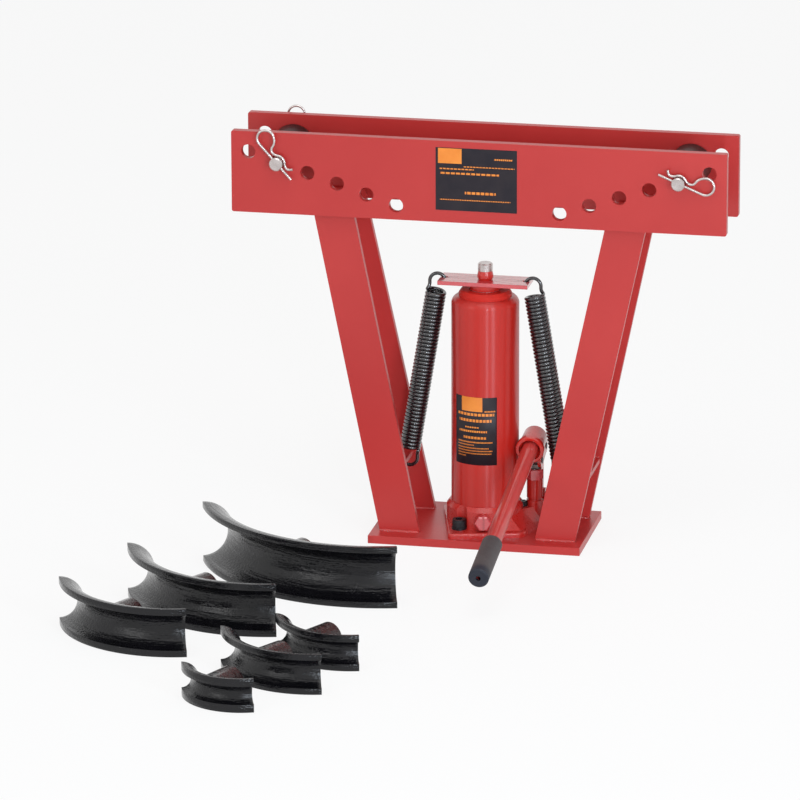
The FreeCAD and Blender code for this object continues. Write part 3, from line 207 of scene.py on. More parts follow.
def math_of(tree, operation, first, second=0.0, third=0.0, clamp=False):
    """The result of a Math node on two or three values or sockets."""
    return plug(tree, "ShaderNodeMath", {0: first, 1: second, 2: third}, operation=operation,
                use_clamp=clamp).outputs[0]


def mixed_colour(tree, share, under, over):
    """The colour between two others: the second shows by the given share."""
    return plug(tree, "ShaderNodeMix", {0: share, 6: under, 7: over}, data_type="RGBA").outputs[2]


def make_uneven_skin():
    """Noise of three sizes: a slow drift of tone, a height for the skin of paint or casting, and specks."""
    tree, given, result = shader_group(
        "uneven_skin",
        [("Vector", "NodeSocketVector", None), ("Drift size", "NodeSocketFloat", 0.12),
         ("Skin size", "NodeSocketFloat", 0.003), ("Speck share", "NodeSocketFloat", 0.1)],
        [("Drift", "NodeSocketFloat"), ("Height", "NodeSocketFloat"), ("Specks", "NodeSocketFloat")])
    spot = given.outputs["Vector"]
    drift = plug(tree, "ShaderNodeTexNoise", {
        "Vector": spot, "Scale": math_of(tree, "DIVIDE", 1.0, given.outputs["Drift size"]),
        "Detail": 3.0, "Roughness": 0.5})
    skin = plug(tree, "ShaderNodeTexNoise", {
        "Vector": spot, "Scale": math_of(tree, "DIVIDE", 1.0, given.outputs["Skin size"]),
        "Detail": 4.0, "Roughness": 0.55})
    specks = plug(tree, "ShaderNodeTexVoronoi", {
        "Vector": spot, "Scale": math_of(tree, "DIVIDE", 0.4, given.outputs["Skin size"])})
    edge = math_of(tree, "MULTIPLY", given.outputs["Speck share"], 0.5)
    speck = plug(tree, "ShaderNodeMapRange", {
        "Value": specks.outputs["Distance"], "From Min": edge, "From Max": 0.0}, clamp=True)
    tree.links.new(drift.outputs["Fac"], result.inputs["Drift"])
    tree.links.new(skin.outputs["Fac"], result.inputs["Height"])
    tree.links.new(speck.outputs["Result"], result.inputs["Specks"])
    return tree


def make_two_tones():
    """A colour that drifts between two tones, with the drift's contrast opened up, and specks over it."""
    tree, given, result = shader_group(
        "two_tones",
        [("Drift", "NodeSocketFloat", 0.5), ("Specks", "NodeSocketFloat", 0.0),
         ("Tone", "NodeSocketColor", (0.5, 0.5, 0.5, 1)),
         ("Other tone", "NodeSocketColor", (0.4, 0.4, 0.4, 1)),
         ("Speck tone", "NodeSocketColor", (0.2, 0.2, 0.2, 1))],
        [("Color", "NodeSocketColor")])
    opened = plug(tree, "ShaderNodeMapRange", {"Value": given.outputs["Drift"], "From Min": 0.32,
                                               "From Max": 0.68}, clamp=True)
    tones = mixed_colour(tree, opened.outputs["Result"], given.outputs["Tone"], given.outputs["Other tone"])
    speckled = mixed_colour(tree, given.outputs["Specks"], tones, given.outputs["Speck tone"])
    tree.links.new(speckled, result.inputs["Color"])
    return tree


DASH_SHARE = 0.78


def make_bar_mask():
    """One where the label's point lies between Left and Right and between Low and High, and nothing
    elsewhere; a number of gaps, counted across the whole label, cuts the box into short dashes."""
    tree, given, result = shader_group(
        "bar_mask",
        [("Vector", "NodeSocketVector", None), ("Left", "NodeSocketFloat", 0.0),
         ("Right", "NodeSocketFloat", 1.0), ("Low", "NodeSocketFloat", 0.0),
         ("High", "NodeSocketFloat", 1.0), ("Gaps", "NodeSocketFloat", 0.0)],
        [("Mask", "NodeSocketFloat")])
    place = plug(tree, "ShaderNodeSeparateXYZ", {0: given.outputs["Vector"]})
    inside = 1.0
    for axis, comparison, side in ((0, "GREATER_THAN", "Left"), (0, "LESS_THAN", "Right"),
                                   (1, "GREATER_THAN", "Low"), (1, "LESS_THAN", "High")):
        within = math_of(tree, comparison, place.outputs[axis], given.outputs[side])
        inside = math_of(tree, "MULTIPLY", within, inside)
    step = math_of(tree, "FRACT", math_of(tree, "MULTIPLY", place.outputs[0], given.outputs["Gaps"]))
    solid = math_of(tree, "LESS_THAN", step, DASH_SHARE)
    tree.links.new(math_of(tree, "MULTIPLY", inside, solid), result.inputs["Mask"])
    return tree


def make_arc_streaks():
    """Height of a skin drawn out along arcs about an upright axis: noise whose place is the way travelled
    round the centre over the streak's length, and radius and height over its width, with grain over it."""
    tree, given, result = shader_group(
        "arc_streaks",
        [("Vector", "NodeSocketVector", None), ("Centre", "NodeSocketVector", None),
         ("Radius", "NodeSocketFloat", 0.1), ("Length", "NodeSocketFloat", 0.05),
         ("Width", "NodeSocketFloat", 0.004), ("Grain size", "NodeSocketFloat", 0.002)],
        [("Height", "NodeSocketFloat"), ("Grain", "NodeSocketFloat")])
    centred = plug(tree, "ShaderNodeVectorMath", {0: given.outputs["Vector"], 1: given.outputs["Centre"]},
                   operation="SUBTRACT").outputs["Vector"]
    place = plug(tree, "ShaderNodeSeparateXYZ", {0: centred})
    turn = math_of(tree, "ARCTAN2", place.outputs[1], place.outputs[0])
    level = plug(tree, "ShaderNodeCombineXYZ", {0: place.outputs[0], 1: place.outputs[1]})
    away = plug(tree, "ShaderNodeVectorMath", {0: level.outputs[0]}, operation="LENGTH").outputs["Value"]
    travel = math_of(tree, "MULTIPLY", turn, given.outputs["Radius"])
    drawn = plug(tree, "ShaderNodeCombineXYZ", {
        0: math_of(tree, "DIVIDE", travel, given.outputs["Length"]),
        1: math_of(tree, "DIVIDE", away, given.outputs["Width"]),
        2: math_of(tree, "DIVIDE", place.outputs[2], given.outputs["Width"])})
    streak = plug(tree, "ShaderNodeTexNoise", {"Vector": drawn.outputs[0], "Scale": 1.0, "Detail": 3.0,
                                               "Roughness": 0.6})
    grain = plug(tree, "ShaderNodeTexNoise", {
        "Vector": given.outputs["Vector"], "Detail": 3.0,
        "Scale": math_of(tree, "DIVIDE", 1.0, given.outputs["Grain size"])})
    height = math_of(tree, "MULTIPLY_ADD", grain.outputs["Fac"], 0.35, streak.outputs["Fac"])
    tree.links.new(height, result.inputs["Height"])
    tree.links.new(grain.outputs["Fac"], result.inputs["Grain"])
    return tree


def make_edge_share():
    """How far a point lies past a plane: its way along a direction, nothing at Start and one at End."""
    tree, given, result = shader_group(
        "edge_share",
        [("Vector", "NodeSocketVector", None), ("Direction", "NodeSocketVector", None),
         ("Start", "NodeSocketFloat", 0.0), ("End", "NodeSocketFloat", 1.0)],
        [("Share", "NodeSocketFloat")])
    way = plug(tree, "ShaderNodeVectorMath", {0: given.outputs["Vector"], 1: given.outputs["Direction"]},
               operation="DOT_PRODUCT").outputs["Value"]
    share = plug(tree, "ShaderNodeMapRange", {"Value": way, "From Min": given.outputs["Start"],
                                              "From Max": given.outputs["End"]}, clamp=True)
    tree.links.new(share.outputs["Result"], result.inputs["Share"])
    return tree


UNEVEN_SKIN = make_uneven_skin()
ARC_STREAKS = make_arc_streaks()
EDGE_SHARE = make_edge_share()
TWO_TONES = make_two_tones()
BAR_MASK = make_bar_mask()


# Materials

def grouped(tree, group, inputs):
    """A group placed in a material, with its own values."""
    made = tree.nodes.new("ShaderNodeGroup")
    made.node_tree = group
    for key, value in inputs.items():
        if isinstance(value, bpy.types.NodeSocket):
            tree.links.new(value, made.inputs[key])
        else:
            made.inputs[key].default_value = value
    return made


def tone(red, green, blue):
    """A colour given as it looks on a screen, from 0 to 255, made linear."""
    share = np.array([red, green, blue]) / 255
    linear = np.where(share <= 0.04045, share / 12.92, ((share + 0.055) / 1.055) ** 2.4)
    return (*linear.tolist(), 1.0)


def surface_finish(name, base, other, speck, rough, rougher, drift_size, skin_size, bump, speck_share=0.0,
                   metal=0.0, coat=0.0, coat_rough=0.1, specular=0.5):
    """A finish with drifting tone, specks, a skin with roughness and height, and an optional clear coat."""
    material = bpy.data.materials.new(name)
    material.use_nodes = True
    tree = material.node_tree
    shader = tree.nodes["Principled BSDF"]
    place = plug(tree, "ShaderNodeTexCoord").outputs["Object"]
    skin = grouped(tree, UNEVEN_SKIN, {"Vector": place, "Drift size": drift_size, "Skin size": skin_size,
                                       "Speck share": speck_share})
    colour = grouped(tree, TWO_TONES, {"Drift": skin.outputs["Drift"], "Specks": skin.outputs["Specks"],
                                       "Tone": base, "Other tone": other, "Speck tone": speck})
    spread = plug(tree, "ShaderNodeMapRange", {"Value": skin.outputs["Height"], "From Min": 0.3,
                                               "From Max": 0.7, "To Min": rough, "To Max": rougher})
    relief = plug(tree, "ShaderNodeBump", {"Height": skin.outputs["Height"], "Strength": 1.0,
                                           "Distance": bump})
    tree.links.new(colour.outputs["Color"], shader.inputs["Base Color"])
    tree.links.new(spread.outputs["Result"], shader.inputs["Roughness"])
    tree.links.new(relief.outputs["Normal"], shader.inputs["Normal"])
    shader.inputs["Metallic"].default_value = metal
    shader.inputs["Coat Weight"].default_value = coat
    shader.inputs["Coat Roughness"].default_value = coat_rough
    shader.inputs["Specular IOR Level"].default_value = specular
    return material


def tinted_where(material, centre, reach, tint, strength):
    """Lays a second colour over the finish within reach of an upright axis, with a soft edge."""
    tree = material.node_tree
    shader = tree.nodes["Principled BSDF"]
    under = shader.inputs["Base Color"].links[0].from_socket
    place = plug(tree, "ShaderNodeTexCoord").outputs["Object"]
    centred = plug(tree, "ShaderNodeMapping", {"Vector": place, "Location": (-centre[0], -centre[1], 0),
                                               "Scale": (1, 1, 0)})
    away = plug(tree, "ShaderNodeVectorMath", {0: centred.outputs[0]}, operation="LENGTH").outputs["Value"]
    near = plug(tree, "ShaderNodeMapRange", {"Value": away, "From Min": reach + 2 * MM, "From Max": reach,
                                             "To Max": strength}, clamp=True)
    tree.links.new(mixed_colour(tree, near.outputs["Result"], under, tint), shader.inputs["Base Color"])


def drawn_along(material, direction):
    """Stretches the shine of a tube's paint along the tube, whichever way the tube is turned."""
    tree = material.node_tree
    shader = tree.nodes["Principled BSDF"]
    along = plug(tree, "ShaderNodeCombineXYZ", dict(enumerate(direction)))
    turned = plug(tree, "ShaderNodeVectorTransform", {0: along.outputs[0]}, vector_type="VECTOR",
                  convert_from="OBJECT", convert_to="WORLD")
    tree.links.new(turned.outputs[0], shader.inputs["Tangent"])
    shader.inputs["Anisotropic"].default_value = 1.0


def painted_past(material, direction, start, end, tint):
    """Paints the part of a piece that lies past a plane, with a soft edge from start to end."""
    tree = material.node_tree
    shader = tree.nodes["Principled BSDF"]
    under = shader.inputs["Base Color"].links[0].from_socket
    place = plug(tree, "ShaderNodeTexCoord").outputs["Object"]
    share = grouped(tree, EDGE_SHARE, {"Vector": place, "Direction": direction, "Start": start,
                                       "End": end}).outputs["Share"]
    tree.links.new(mixed_colour(tree, share, under, tint), shader.inputs["Base Color"])
    bare = math_of(tree, "SUBTRACT", 1.0, share)
    metal = math_of(tree, "MULTIPLY", bare, shader.inputs["Metallic"].default_value)
    tree.links.new(metal, shader.inputs["Metallic"])


def label_film(name, square, bars):
    """Charcoal label film with a plain orange square and plain bars, each (left, right, low, high, gaps) in
    shares of the label."""
    material = bpy.data.materials.new(name)
    material.use_nodes = True
    tree = material.node_tree
    shader = tree.nodes["Principled BSDF"]
    spot = plug(tree, "ShaderNodeUVMap", uv_map="label_uv").outputs["UV"]
    ink = 0.0
    for left, right, low, high, gaps in [(*square, 0.0), *bars]:
        mask = grouped(tree, BAR_MASK, {"Vector": spot, "Left": left, "Right": right, "Low": low,
                                        "High": high, "Gaps": gaps}).outputs["Mask"]
        ink = math_of(tree, "MAXIMUM", mask, ink)
    place = plug(tree, "ShaderNodeTexCoord").outputs["Object"]
    skin = grouped(tree, UNEVEN_SKIN, {"Vector": place, "Drift size": 0.02, "Skin size": 0.001,
                                       "Speck share": 0.0})
    charcoal = grouped(tree, TWO_TONES, {"Drift": skin.outputs["Drift"], "Specks": 0.0,
                                         "Tone": tone(32, 28, 36), "Other tone": tone(42, 36, 41)})
    orange = grouped(tree, TWO_TONES, {"Drift": skin.outputs["Drift"], "Specks": 0.0,
                                       "Tone": tone(238, 145, 62), "Other tone": tone(228, 130, 52)})
    printed = mixed_colour(tree, ink, charcoal.outputs["Color"], orange.outputs["Color"])
    tree.links.new(printed, shader.inputs["Base Color"])
    shader.inputs["Roughness"].default_value = 0.4
    shader.inputs["Specular IOR Level"].default_value = 0.25
    return material


PLATE_PAINT = surface_finish(
    "plate_red_paint", tone(190, 52, 49), tone(183, 46, 44), tone(146, 35, 32),
    rough=0.34, rougher=0.46, drift_size=0.16, skin_size=0.0016, bump=0.00006,
    coat=0.15, coat_rough=0.2, specular=0.4)
# Red paint with a painted pink sheen: its tone is lighter and bluer than the other reds, so the crossbar,
# the pump's gland nut and the release valve look lit, over the real shine of their clear coat.
RED_PAINT_AND_PAINTED_SHEEN = surface_finish(
    "red_paint_and_painted_sheen", tone(206, 72, 78), tone(198, 62, 68), tone(150, 35, 32),
    rough=0.2, rougher=0.28, drift_size=0.03, skin_size=0.0016, bump=0.00004,
    coat=1.0, coat_rough=0.08, specular=0.8)
JACK_PAINT = surface_finish(
    "jack_gloss_red_paint", tone(200, 38, 28), tone(194, 34, 25), tone(150, 25, 20),
    rough=0.26, rougher=0.34, drift_size=0.1, skin_size=0.0022, bump=0.00003,
    coat=0.6, coat_rough=0.08, specular=0.4)
TUBE_PAINT = surface_finish(
    "tube_gloss_red_paint", tone(191, 37, 28), tone(185, 33, 25), tone(146, 25, 20),
    rough=0.36, rougher=0.42, drift_size=0.1, skin_size=0.0022, bump=0.00001,
    coat=0.1, coat_rough=0.1, specular=0.5)
HANDLE_PAINT = surface_finish(
    "handle_red_paint", tone(200, 44, 36), tone(188, 36, 30), tone(150, 25, 20),
    rough=0.34, rougher=0.42, drift_size=0.03, skin_size=0.0022, bump=0.00004,
    coat=0.5, coat_rough=0.08, specular=0.6)
DULL_PAINT = surface_finish(
    "nut_red_paint", tone(202, 44, 34), tone(194, 38, 30), tone(150, 25, 20),
    rough=0.5, rougher=0.6, drift_size=0.05, skin_size=0.0022, bump=0.00004,
    specular=0.2)
CAST_PAINT = surface_finish(
    "cast_red_paint", tone(196, 44, 37), tone(184, 36, 31), tone(130, 22, 20),
    rough=0.22, rougher=0.4, drift_size=0.05, skin_size=0.0026, bump=0.00022,
    coat=0.35, coat_rough=0.1, specular=0.4)
WELD_PAINT = surface_finish(
    "weld_red_paint", tone(200, 56, 52), tone(176, 42, 40), tone(120, 26, 24),
    rough=0.25, rougher=0.45, drift_size=0.02, skin_size=0.0012, bump=0.0001,
    coat=0.4, coat_rough=0.12)
SPRING_BLACK = surface_finish(
    "spring_black_enamel", tone(25, 25, 29), tone(18, 18, 21), tone(60, 58, 60),
    rough=0.2, rougher=0.32, drift_size=0.04, skin_size=0.0012, bump=0.00003,
    coat=1.0, coat_rough=0.12, specular=0.6)
BLACK_OXIDE = surface_finish(
    "black_oxide_steel", tone(34, 37, 42), tone(22, 24, 28), tone(80, 80, 84),
    rough=0.26, rougher=0.42, drift_size=0.01, skin_size=0.0008, bump=0.00003,
    metal=0.3)
ROLLER_STEEL = surface_finish(
    "roller_dark_steel", tone(66, 56, 54), tone(42, 36, 38), tone(110, 100, 96),
    rough=0.3, rougher=0.45, drift_size=0.03, skin_size=0.0014, bump=0.00004,
    speck_share=0.12, metal=0.75)
ZINC = surface_finish(
    "bright_zinc_steel", tone(206, 198, 196), tone(186, 176, 174), tone(150, 148, 142),
    rough=0.2, rougher=0.34, drift_size=0.008, skin_size=0.001, bump=0.00003,
    metal=1.0)
GROUND_STEEL = surface_finish(
    "ground_steel", tone(190, 190, 192), tone(170, 171, 174), tone(120, 120, 124),
    rough=0.18, rougher=0.3, drift_size=0.03, skin_size=0.0008, bump=0.00002,
    metal=1.0)
ROD_STEEL = surface_finish(
    "rod_ground_steel", tone(196, 196, 198), tone(180, 181, 184), tone(130, 130, 134),
    rough=0.14, rougher=0.24, drift_size=0.03, skin_size=0.0008, bump=0.00002,
    metal=1.0)
OILED_STEEL = surface_finish(
    "oiled_steel", tone(112, 100, 98), tone(84, 72, 70), tone(60, 52, 50),
    rough=0.24, rougher=0.4, drift_size=0.006, skin_size=0.0008, bump=0.00003,
    speck_share=0.1, metal=0.9)
BRONZE = surface_finish(
    "turned_bronze", tone(196, 150, 84), tone(178, 132, 70), tone(120, 90, 50),
    rough=0.3, rougher=0.42, drift_size=0.02, skin_size=0.0009, bump=0.00002,
    metal=1.0)
SEAL_RUBBER = surface_finish(
    "seal_black_rubber", tone(30, 30, 31), tone(38, 37, 38), tone(20, 20, 20),
    rough=0.55, rougher=0.7, drift_size=0.01, skin_size=0.0009, bump=0.00003)
GRIP_RUBBER = surface_finish(
    "grip_grey_rubber", tone(80, 75, 75), tone(66, 61, 62), tone(48, 44, 46),
    rough=0.5, rougher=0.66, drift_size=0.02, skin_size=0.0011, bump=0.0001,
    speck_share=0.15, specular=0.35)

ROD_PAINT_START = 306.3 * MM
ROD_PAINT_END = 306.6 * MM
GRIP_CAP_START = 309 * MM
GRIP_CAP_END = 317 * MM
HANDLE_DIP = math.radians(10.4)
HANDLE_WAY = (0, -math.cos(HANDLE_DIP), -math.sin(HANDLE_DIP))
drawn_along(TUBE_PAINT, (0, 0, 1))
drawn_along(HANDLE_PAINT, HANDLE_WAY)
painted_past(ROD_STEEL, (0, 0, 1), ROD_PAINT_START, ROD_PAINT_END, tone(190, 40, 34))
painted_past(GRIP_RUBBER, HANDLE_WAY, GRIP_CAP_START, GRIP_CAP_END, tone(34, 37, 47))

# Each die's arc centre in x and y, and the reach of the hub and webs inside the groove's back
DIE_HUBS = {
    "die_2_inch": (-0.105, -0.098, 0.181),
    "die_1_1_2_inch": (-0.204, -0.276, 0.135),
    "die_1_1_4_inch": (-0.288, -0.398, 0.107),
    "die_1_inch": (-0.096, -0.523, 0.082),
    "die_3_4_inch": (-0.068, -0.455, 0.064),
    "die_1_2_inch": (-0.155, -0.637, 0.047),
}


def die_finish(label, hub_x, hub_y, reach):
    """Gloss black enamel run in streaks round the arc of a casting, gone red-brown over hub and webs."""
    material = surface_finish(
        f"{label}_black_enamel", tone(15, 14, 18), tone(9, 9, 12), tone(60, 60, 70),
        rough=0.2, rougher=0.34, drift_size=0.03, skin_size=0.0042, bump=0.0008,
        speck_share=0.08, coat=0.65, coat_rough=0.05, specular=0.05)
    tree = material.node_tree
    shader = tree.nodes["Principled BSDF"]
    place = plug(tree, "ShaderNodeTexCoord").outputs["Object"]
    streaks = grouped(tree, ARC_STREAKS, {
        "Vector": place, "Centre": (hub_x, hub_y, 0), "Radius": reach + 40 * MM,
        "Length": 80 * MM, "Width": 5.5 * MM, "Grain size": 2.6 * MM})
    relief = plug(tree, "ShaderNodeBump", {"Height": streaks.outputs["Height"], "Strength": 1.0,
                                           "Distance": 0.0014})
    gloss = plug(tree, "ShaderNodeMapRange", {"Value": streaks.outputs["Grain"], "From Min": 0.3,
                                              "From Max": 0.7, "To Min": 0.14, "To Max": 0.34})
    tree.links.new(relief.outputs["Normal"], shader.inputs["Normal"])
    tree.links.new(relief.outputs["Normal"], shader.inputs["Coat Normal"])
    tree.links.new(gloss.outputs["Result"], shader.inputs["Roughness"])
    tinted_where(material, (hub_x, hub_y), reach, tone(46, 20, 20), 0.75)
    return material


FINISH_OF = {
    PLATE_PAINT: ["base_plate", "front_beam_plate", "rear_beam_plate", "front_left_leg", "front_right_leg",
                  "rear_left_leg", "rear_right_leg", "left_tie_plate", "right_tie_plate"],
    RED_PAINT_AND_PAINTED_SHEEN: ["crossbar", "pump_gland_nut", "release_valve"],
    TUBE_PAINT: ["reservoir_tube", "pump_cylinder"],
    HANDLE_PAINT: ["handle_tube"],
    DULL_PAINT: ["head_nut"],
    JACK_PAINT: ["ram_tip_holder", "pump_link", "pump_socket"],
    CAST_PAINT: ["jack_base"],
    SPRING_BLACK: ["left_return_spring", "right_return_spring"],
    BLACK_OXIDE: ["jack_base_bolts", "fulcrum_pin", "plunger_pin", "link_foot_pin", "delivery_plug"],
    ROLLER_STEEL: ["left_roller", "right_roller"],
    ZINC: ["ram_tip", "left_roller_pin", "right_roller_pin", "left_pin_clips", "right_pin_clips"],
    GROUND_STEEL: ["power_cylinder", "suction_ball", "delivery_ball", "relief_ball", "relief_spring",
                   "relief_screw"],
    ROD_STEEL: ["ram_rod"],
    OILED_STEEL: ["pump_plunger"],
    BRONZE: ["guide_bushing"],
    SEAL_RUBBER: ["rod_wiper_seal", "piston_seal", "pump_seal", "filler_plug"],
    GRIP_RUBBER: ["handle_grip"],
}


def dress_cad_nodes():
    """Each CAD node takes the finish of its kind."""
    for finish, labels in FINISH_OF.items():
        for label in labels:
            CAD_NODES[label].data.materials.clear()
            CAD_NODES[label].data.materials.append(finish)
    for label, (hub_x, hub_y, reach) in DIE_HUBS.items():
        CAD_NODES[label].data.materials.clear()
        CAD_NODES[label].data.materials.append(die_finish(label, hub_x, hub_y, reach))


SAWN_EDGE = 0.6 * MM
CAST_EDGE = 1.4 * MM
MERGE_REACH = 0.01 * MM
SHARP_TURN = math.radians(40)


def merge_corners(piece):
    """Joins the loose corners of a piece's triangles."""
    piece.modifiers.new("weld", "WELD").merge_threshold = MERGE_REACH


def soften_edges(labels, width):
    """Rounds the sharp edges of plates, bars and dies with a bevel, once their triangles are joined."""
    for label in labels:
        merge_corners(CAD_NODES[label])
        round_over = CAD_NODES[label].modifiers.new("round_over", "BEVEL")
        round_over.width = width
        round_over.segments = 2
        round_over.limit_method = "ANGLE"
        round_over.angle_limit = SHARP_TURN


# How far the springs' wire is swollen
SPRING_SWELL = 0.24 * MM


def stretching_springs():
    """The return springs' own wire: a copy of each spring's mesh, set in place, with the CAD spring hidden.
    The wire is swollen a little along its normals: its turns all but touch."""
    for label in ("left_return_spring", "right_return_spring"):
        wire = bpy.data.objects.new(f"{label}_wire", CAD_NODES[label].data.copy())
        bpy.context.scene.collection.objects.link(wire)
        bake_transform(wire)
        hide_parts(label)
        merge_corners(wire)
        swell = wire.modifiers.new("swell", "DISPLACE")
        swell.direction = "NORMAL"
        swell.mid_level = 0
        swell.strength = SPRING_SWELL


# Labels

# Left, right, low and high edge of the film on the beam; angles and heights of the one round the tube
BEAM_LABEL = (-50.5 * MM, 48 * MM, 415 * MM, 492 * MM)
JACK_LABEL_TURN = (-46.5, 31.0)
JACK_LABEL_HEIGHT = (96 * MM, 181 * MM)
FILM = 0.25 * MM


def film_shell(outer, inward, uv):
    """A thin closed film: the outer grid and a copy moved inward, joined round their edge."""
    rows, columns = outer.shape[:2]
    front = outer.reshape(-1, 3)
    back = front + inward.reshape(-1, 3)
    faces = grid_faces(rows, columns)
    count = rows * columns
    faces += [[corner + count for corner in reversed(face)] for face in faces]
    index = np.arange(count).reshape(rows, columns)
    rim = np.concatenate([index[0, :-1], index[:-1, -1], index[-1, :0:-1], index[:0:-1, 0]])
    following = np.roll(rim, -1)
    faces += np.stack([following, rim, rim + count, following + count], axis=-1).tolist()
    return np.concatenate([front, back]), faces, np.concatenate([uv, uv])


def beam_label():
    """A flat film on the front beam plate: x and z run over the grid, y is the plate's face less FILM."""
    left, right, low, high = BEAM_LABEL
    across, upward = np.meshgrid(np.linspace(0, 1, 3), np.linspace(0, 1, 3))
    outer = np.stack([left + across * (right - left), np.full(across.shape, BEAM_LOW[1] - FILM),
                      low + upward * (high - low)], axis=-1)
    inward = np.broadcast_to(np.array([0, FILM * 0.9, 0]), outer.shape)
    points, faces, uv = film_shell(outer, inward, np.stack([across, upward], -1).reshape(-1, 2))
    film = label_film("beam_label_film", (0.03, 0.32, 0.75, 0.99), [
        (0.34, 0.97, 0.7, 0.715, 26), (0.72, 0.94, 0.83, 0.855, 40), (0.05, 0.47, 0.655, 0.675, 22),
        (0.06, 0.78, 0.58, 0.61, 16), (0.36, 0.74, 0.27, 0.31, 18), (0.05, 0.92, 0.165, 0.18, 34)])
    mesh_piece("beam_label", points, faces, film, "frame", smooth=False, uv=uv)


def jack_label():
    """A film bent round the oil tube: x = R sin a and y = -R cos a over its angle a, z over its height."""
    across, upward = np.meshgrid(np.linspace(0, 1, 33), np.linspace(0, 1, 3))
    turn = np.radians(JACK_LABEL_TURN[0] + across * (JACK_LABEL_TURN[1] - JACK_LABEL_TURN[0]))
    outward = np.stack([np.sin(turn), -np.cos(turn), np.zeros(turn.shape)], axis=-1)
    height = JACK_LABEL_HEIGHT[0] + upward * (JACK_LABEL_HEIGHT[1] - JACK_LABEL_HEIGHT[0])
    outer = outward * (TUBE_RADIUS + FILM)
    outer[..., 2] = height
    inward = -outward * (FILM * 0.6)
    points, faces, uv = film_shell(outer, inward, np.stack([across, upward], -1).reshape(-1, 2))
    film = label_film("jack_label_film", (0.19, 0.68, 0.79, 1.0), [
        (0.72, 0.96, 0.785, 0.805, 30), (0.08, 0.94, 0.725, 0.765, 12), (0.12, 0.88, 0.635, 0.675, 13),
        (0.28, 0.6, 0.545, 0.565, 18), (0.12, 0.78, 0.48, 0.51, 20), (0.24, 0.76, 0.385, 0.42, 14),
        (0.08, 0.9, 0.325, 0.345, 34), (0.08, 0.5, 0.285, 0.3, 34), (0.08, 0.82, 0.24, 0.257, 34),
        (0.08, 0.9, 0.2, 0.217, 34), (0.08, 0.88, 0.16, 0.177, 34), (0.08, 0.3, 0.12, 0.137, 34)])
    mesh_piece("jack_label", points, faces, film, "frame", smooth=True, uv=uv)


# Welds and knurling

LEG_FOOT_Y = 52 * MM
LEG_FOOT_X = (71 * MM, 120 * MM)
LEG_TOP_X = (152.5 * MM, 201.5 * MM)
LEG_BAR = 8 * MM
TIE_END_Y = 41.6 * MM
TIE_BEAD_INSET = 1 * MM
FOOT_BEAD_OUTSIDE = 2.6 * MM
FOOT_BEAD_INSIDE = 2.2 * MM
BEAM_BEAD = 2.4 * MM
TIE_BEAD = 1.8 * MM


def level_bead(ends, y, z, out, up, radius, seed):
    """A bead that runs level across the press between two ends in x."""
    return bead((ends[0], y, z), (ends[1], y, z), out, up, radius, seed)


def weld_seams():
    """Fillet beads round each leg's foot, under each beam plate and along the tie plates' ends."""
    feet, tops, ties = [], [], []
    for side in (-1, 1):
        foot_ends = [side * value for value in LEG_FOOT_X]
        top_ends = [side * value for value in LEG_TOP_X]
        tie_ends = [side * (TIE_LOW[0] + TIE_BEAD_INSET), side * (TIE_HIGH[0] - TIE_BEAD_INSET)]
        for depth in (-1, 1):
            seed = 3 * side + depth
            feet.append(level_bead(foot_ends, depth * LEG_FOOT_Y, BASE_TOP_Z,
                                   (0, depth, 0), (0, 0, 1), FOOT_BEAD_OUTSIDE, seed))
            feet.append(level_bead(foot_ends, depth * (LEG_FOOT_Y - LEG_BAR), BASE_TOP_Z,
                                   (0, -depth, 0), (0, 0, 1), FOOT_BEAD_INSIDE, seed + 1))
            tops.append(level_bead(top_ends, -depth * BEAM_HIGH[1], BEAM_LOW[2],
                                   (0, depth, 0), (0, 0, -1), BEAM_BEAD, seed + 2))
            for level, upright in ((TIE_LOW[2], -1), (TIE_HIGH[2], 1)):
                ties.append(level_bead(tie_ends, depth * TIE_END_Y, level,
                                       (0, -depth, 0), (0, 0, upright), TIE_BEAD, seed + level * 90))
    for label, seams in (("leg_foot_welds", feet), ("beam_plate_welds", tops), ("tie_plate_welds", ties)):
        points, faces = joined(seams)
        mesh_piece(label, points, faces, WELD_PAINT, "frame")


SCREW_PLACES = ((-23.19 * MM, -45.46 * MM), (23.19 * MM, 45.46 * MM))
SCREW_HEAD_RADIUS = 8 * MM
KNURL_Z = (18.2 * MM, 26.2 * MM)
KNURL_RIDGES = 36
KNURL_DEPTH = 0.25 * MM


def screw_knurling():
    """Knurled bands round the heads of the two socket screws that hold the jack down."""
    points, faces = joined([knurled_band(place, SCREW_HEAD_RADIUS, *KNURL_Z, KNURL_RIDGES, KNURL_DEPTH)
                            for place in SCREW_PLACES])
    mesh_piece("screw_head_knurls", points, faces, BLACK_OXIDE, "frame", smooth=False)


# Floor and light

def white_where_seen(tree, shader_socket, share):
    """Mixes plain white into a shader, as camera, glossy and transmitted rays see it."""
    rays = plug(tree, "ShaderNodeLightPath")
    seen = math_of(tree, "MAXIMUM", rays.outputs["Is Camera Ray"], rays.outputs["Is Glossy Ray"])
    seen = math_of(tree, "MAXIMUM", seen, rays.outputs["Is Transmission Ray"])
    white = plug(tree, "ShaderNodeEmission", {"Color": (1, 1, 1, 1), "Strength": 1.0})
    mixed = plug(tree, "ShaderNodeMixShader", {0: math_of(tree, "MULTIPLY", seen, share)})
    tree.links.new(shader_socket, mixed.inputs[1])
    tree.links.new(white.outputs[0], mixed.inputs[2])
    return mixed.outputs[0]


FLOOR_REACH = 40.0
FLOOR_Z = -0.4 * MM
FLOOR_WHITE = 0.86
SKY_STRENGTH = 0.46


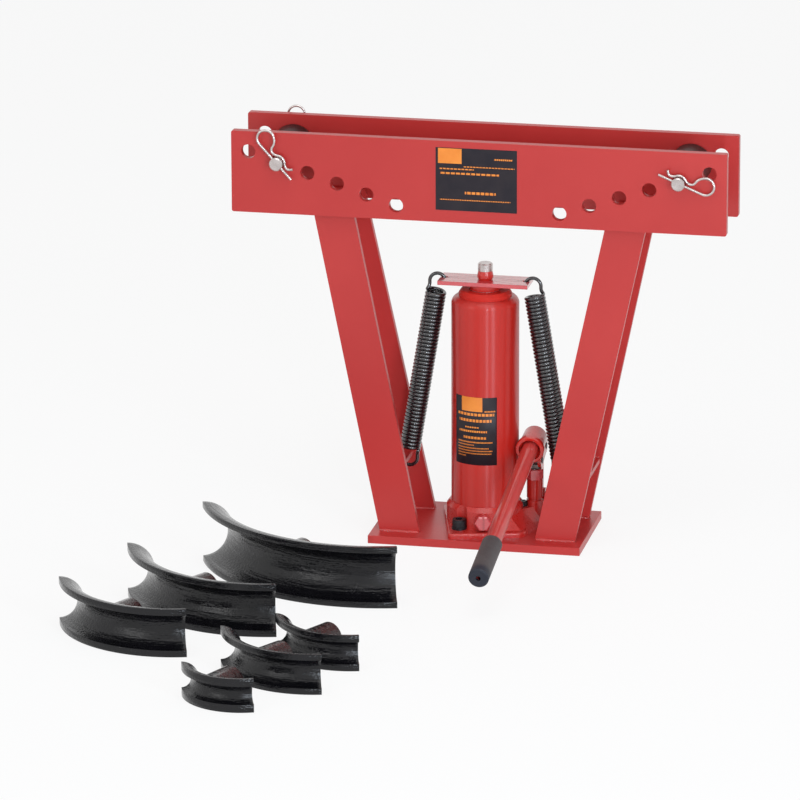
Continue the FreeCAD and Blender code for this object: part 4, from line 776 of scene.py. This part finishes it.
def lay_floor():
    """A plain pale floor that runs far past the view, a hair below the press."""
    corners = [(x * FLOOR_REACH, y * FLOOR_REACH, FLOOR_Z) for x, y in ((-1, -1), (1, -1), (1, 1), (-1, 1))]
    mesh = bpy.data.meshes.new("floor")
    mesh.from_pydata(corners, [], [(0, 1, 2, 3)])
    floor = bpy.data.objects.new("floor", mesh)
    bpy.context.scene.collection.objects.link(floor)
    material = bpy.data.materials.new("pale_floor")
    material.use_nodes = True
    tree = material.node_tree
    shader = tree.nodes["Principled BSDF"]
    shader.inputs["Base Color"].default_value = (0.97, 0.97, 0.97, 1)
    shader.inputs["Roughness"].default_value = 0.9
    shader.inputs["Specular IOR Level"].default_value = 0.1
    seen = white_where_seen(tree, shader.outputs[0], FLOOR_WHITE)
    tree.links.new(seen, tree.nodes["Material Output"].inputs["Surface"])
    floor.data.materials.append(material)


def soft_lamp(name, place, aim, width, height, power, colour=(1, 1, 1)):
    """A rectangular soft lamp at a place, turned to face its aim."""
    lamp = bpy.data.objects.new(name, bpy.data.lights.new(name, "AREA"))
    bpy.context.scene.collection.objects.link(lamp)
    lamp.data.shape = "RECTANGLE"
    lamp.data.size = width
    lamp.data.size_y = height
    lamp.data.energy = power
    lamp.data.color = colour
    lamp.location = place
    lamp.rotation_mode = "QUATERNION"
    lamp.rotation_quaternion = (Vector(aim) - Vector(place)).to_track_quat("-Z", "Y")


def light_studio():
    """A pale sky that looks white, and four soft lamps."""
    world = bpy.data.worlds.new("pale_studio")
    bpy.context.scene.world = world
    world.use_nodes = True
    tree = world.node_tree
    sky = tree.nodes["Background"]
    sky.inputs["Color"].default_value = (1, 1, 1, 1)
    sky.inputs["Strength"].default_value = SKY_STRENGTH
    seen = white_where_seen(tree, sky.outputs[0], 1.0)
    tree.links.new(seen, tree.nodes["World Output"].inputs["Surface"])
    cool = (0.8, 0.89, 1.0)
    soft_lamp("key_lamp", place=(2.23, -2.95, 1.0), aim=(0, -0.1, 0.25), width=0.6, height=1.9, power=44,
              colour=cool)
    soft_lamp("line_lamp", place=(1.02, -3.35, 0.85), aim=(0, -0.1, 0.2), width=0.08, height=1.6, power=28,
              colour=cool)
    soft_lamp("fill_lamp", place=(-2.6, -3.2, 1.9), aim=(0, -0.2, 0.25), width=1.6, height=1.6, power=18)
    soft_lamp("top_lamp", place=(0.2, -1.3, 3.2), aim=(0, -0.2, 0.2), width=2.0, height=2.0, power=25)


# The whole scene

place_camera()
light_studio()
lay_floor()
dress_cad_nodes()
soften_edges([*FINISH_OF[PLATE_PAINT], "crossbar"], SAWN_EDGE)
soften_edges(list(DIE_HUBS), CAST_EDGE)
stretching_springs()
beam_label()
jack_label()
weld_seams()
screw_knurling()

bpy.context.scene.view_settings.view_transform = "Standard"
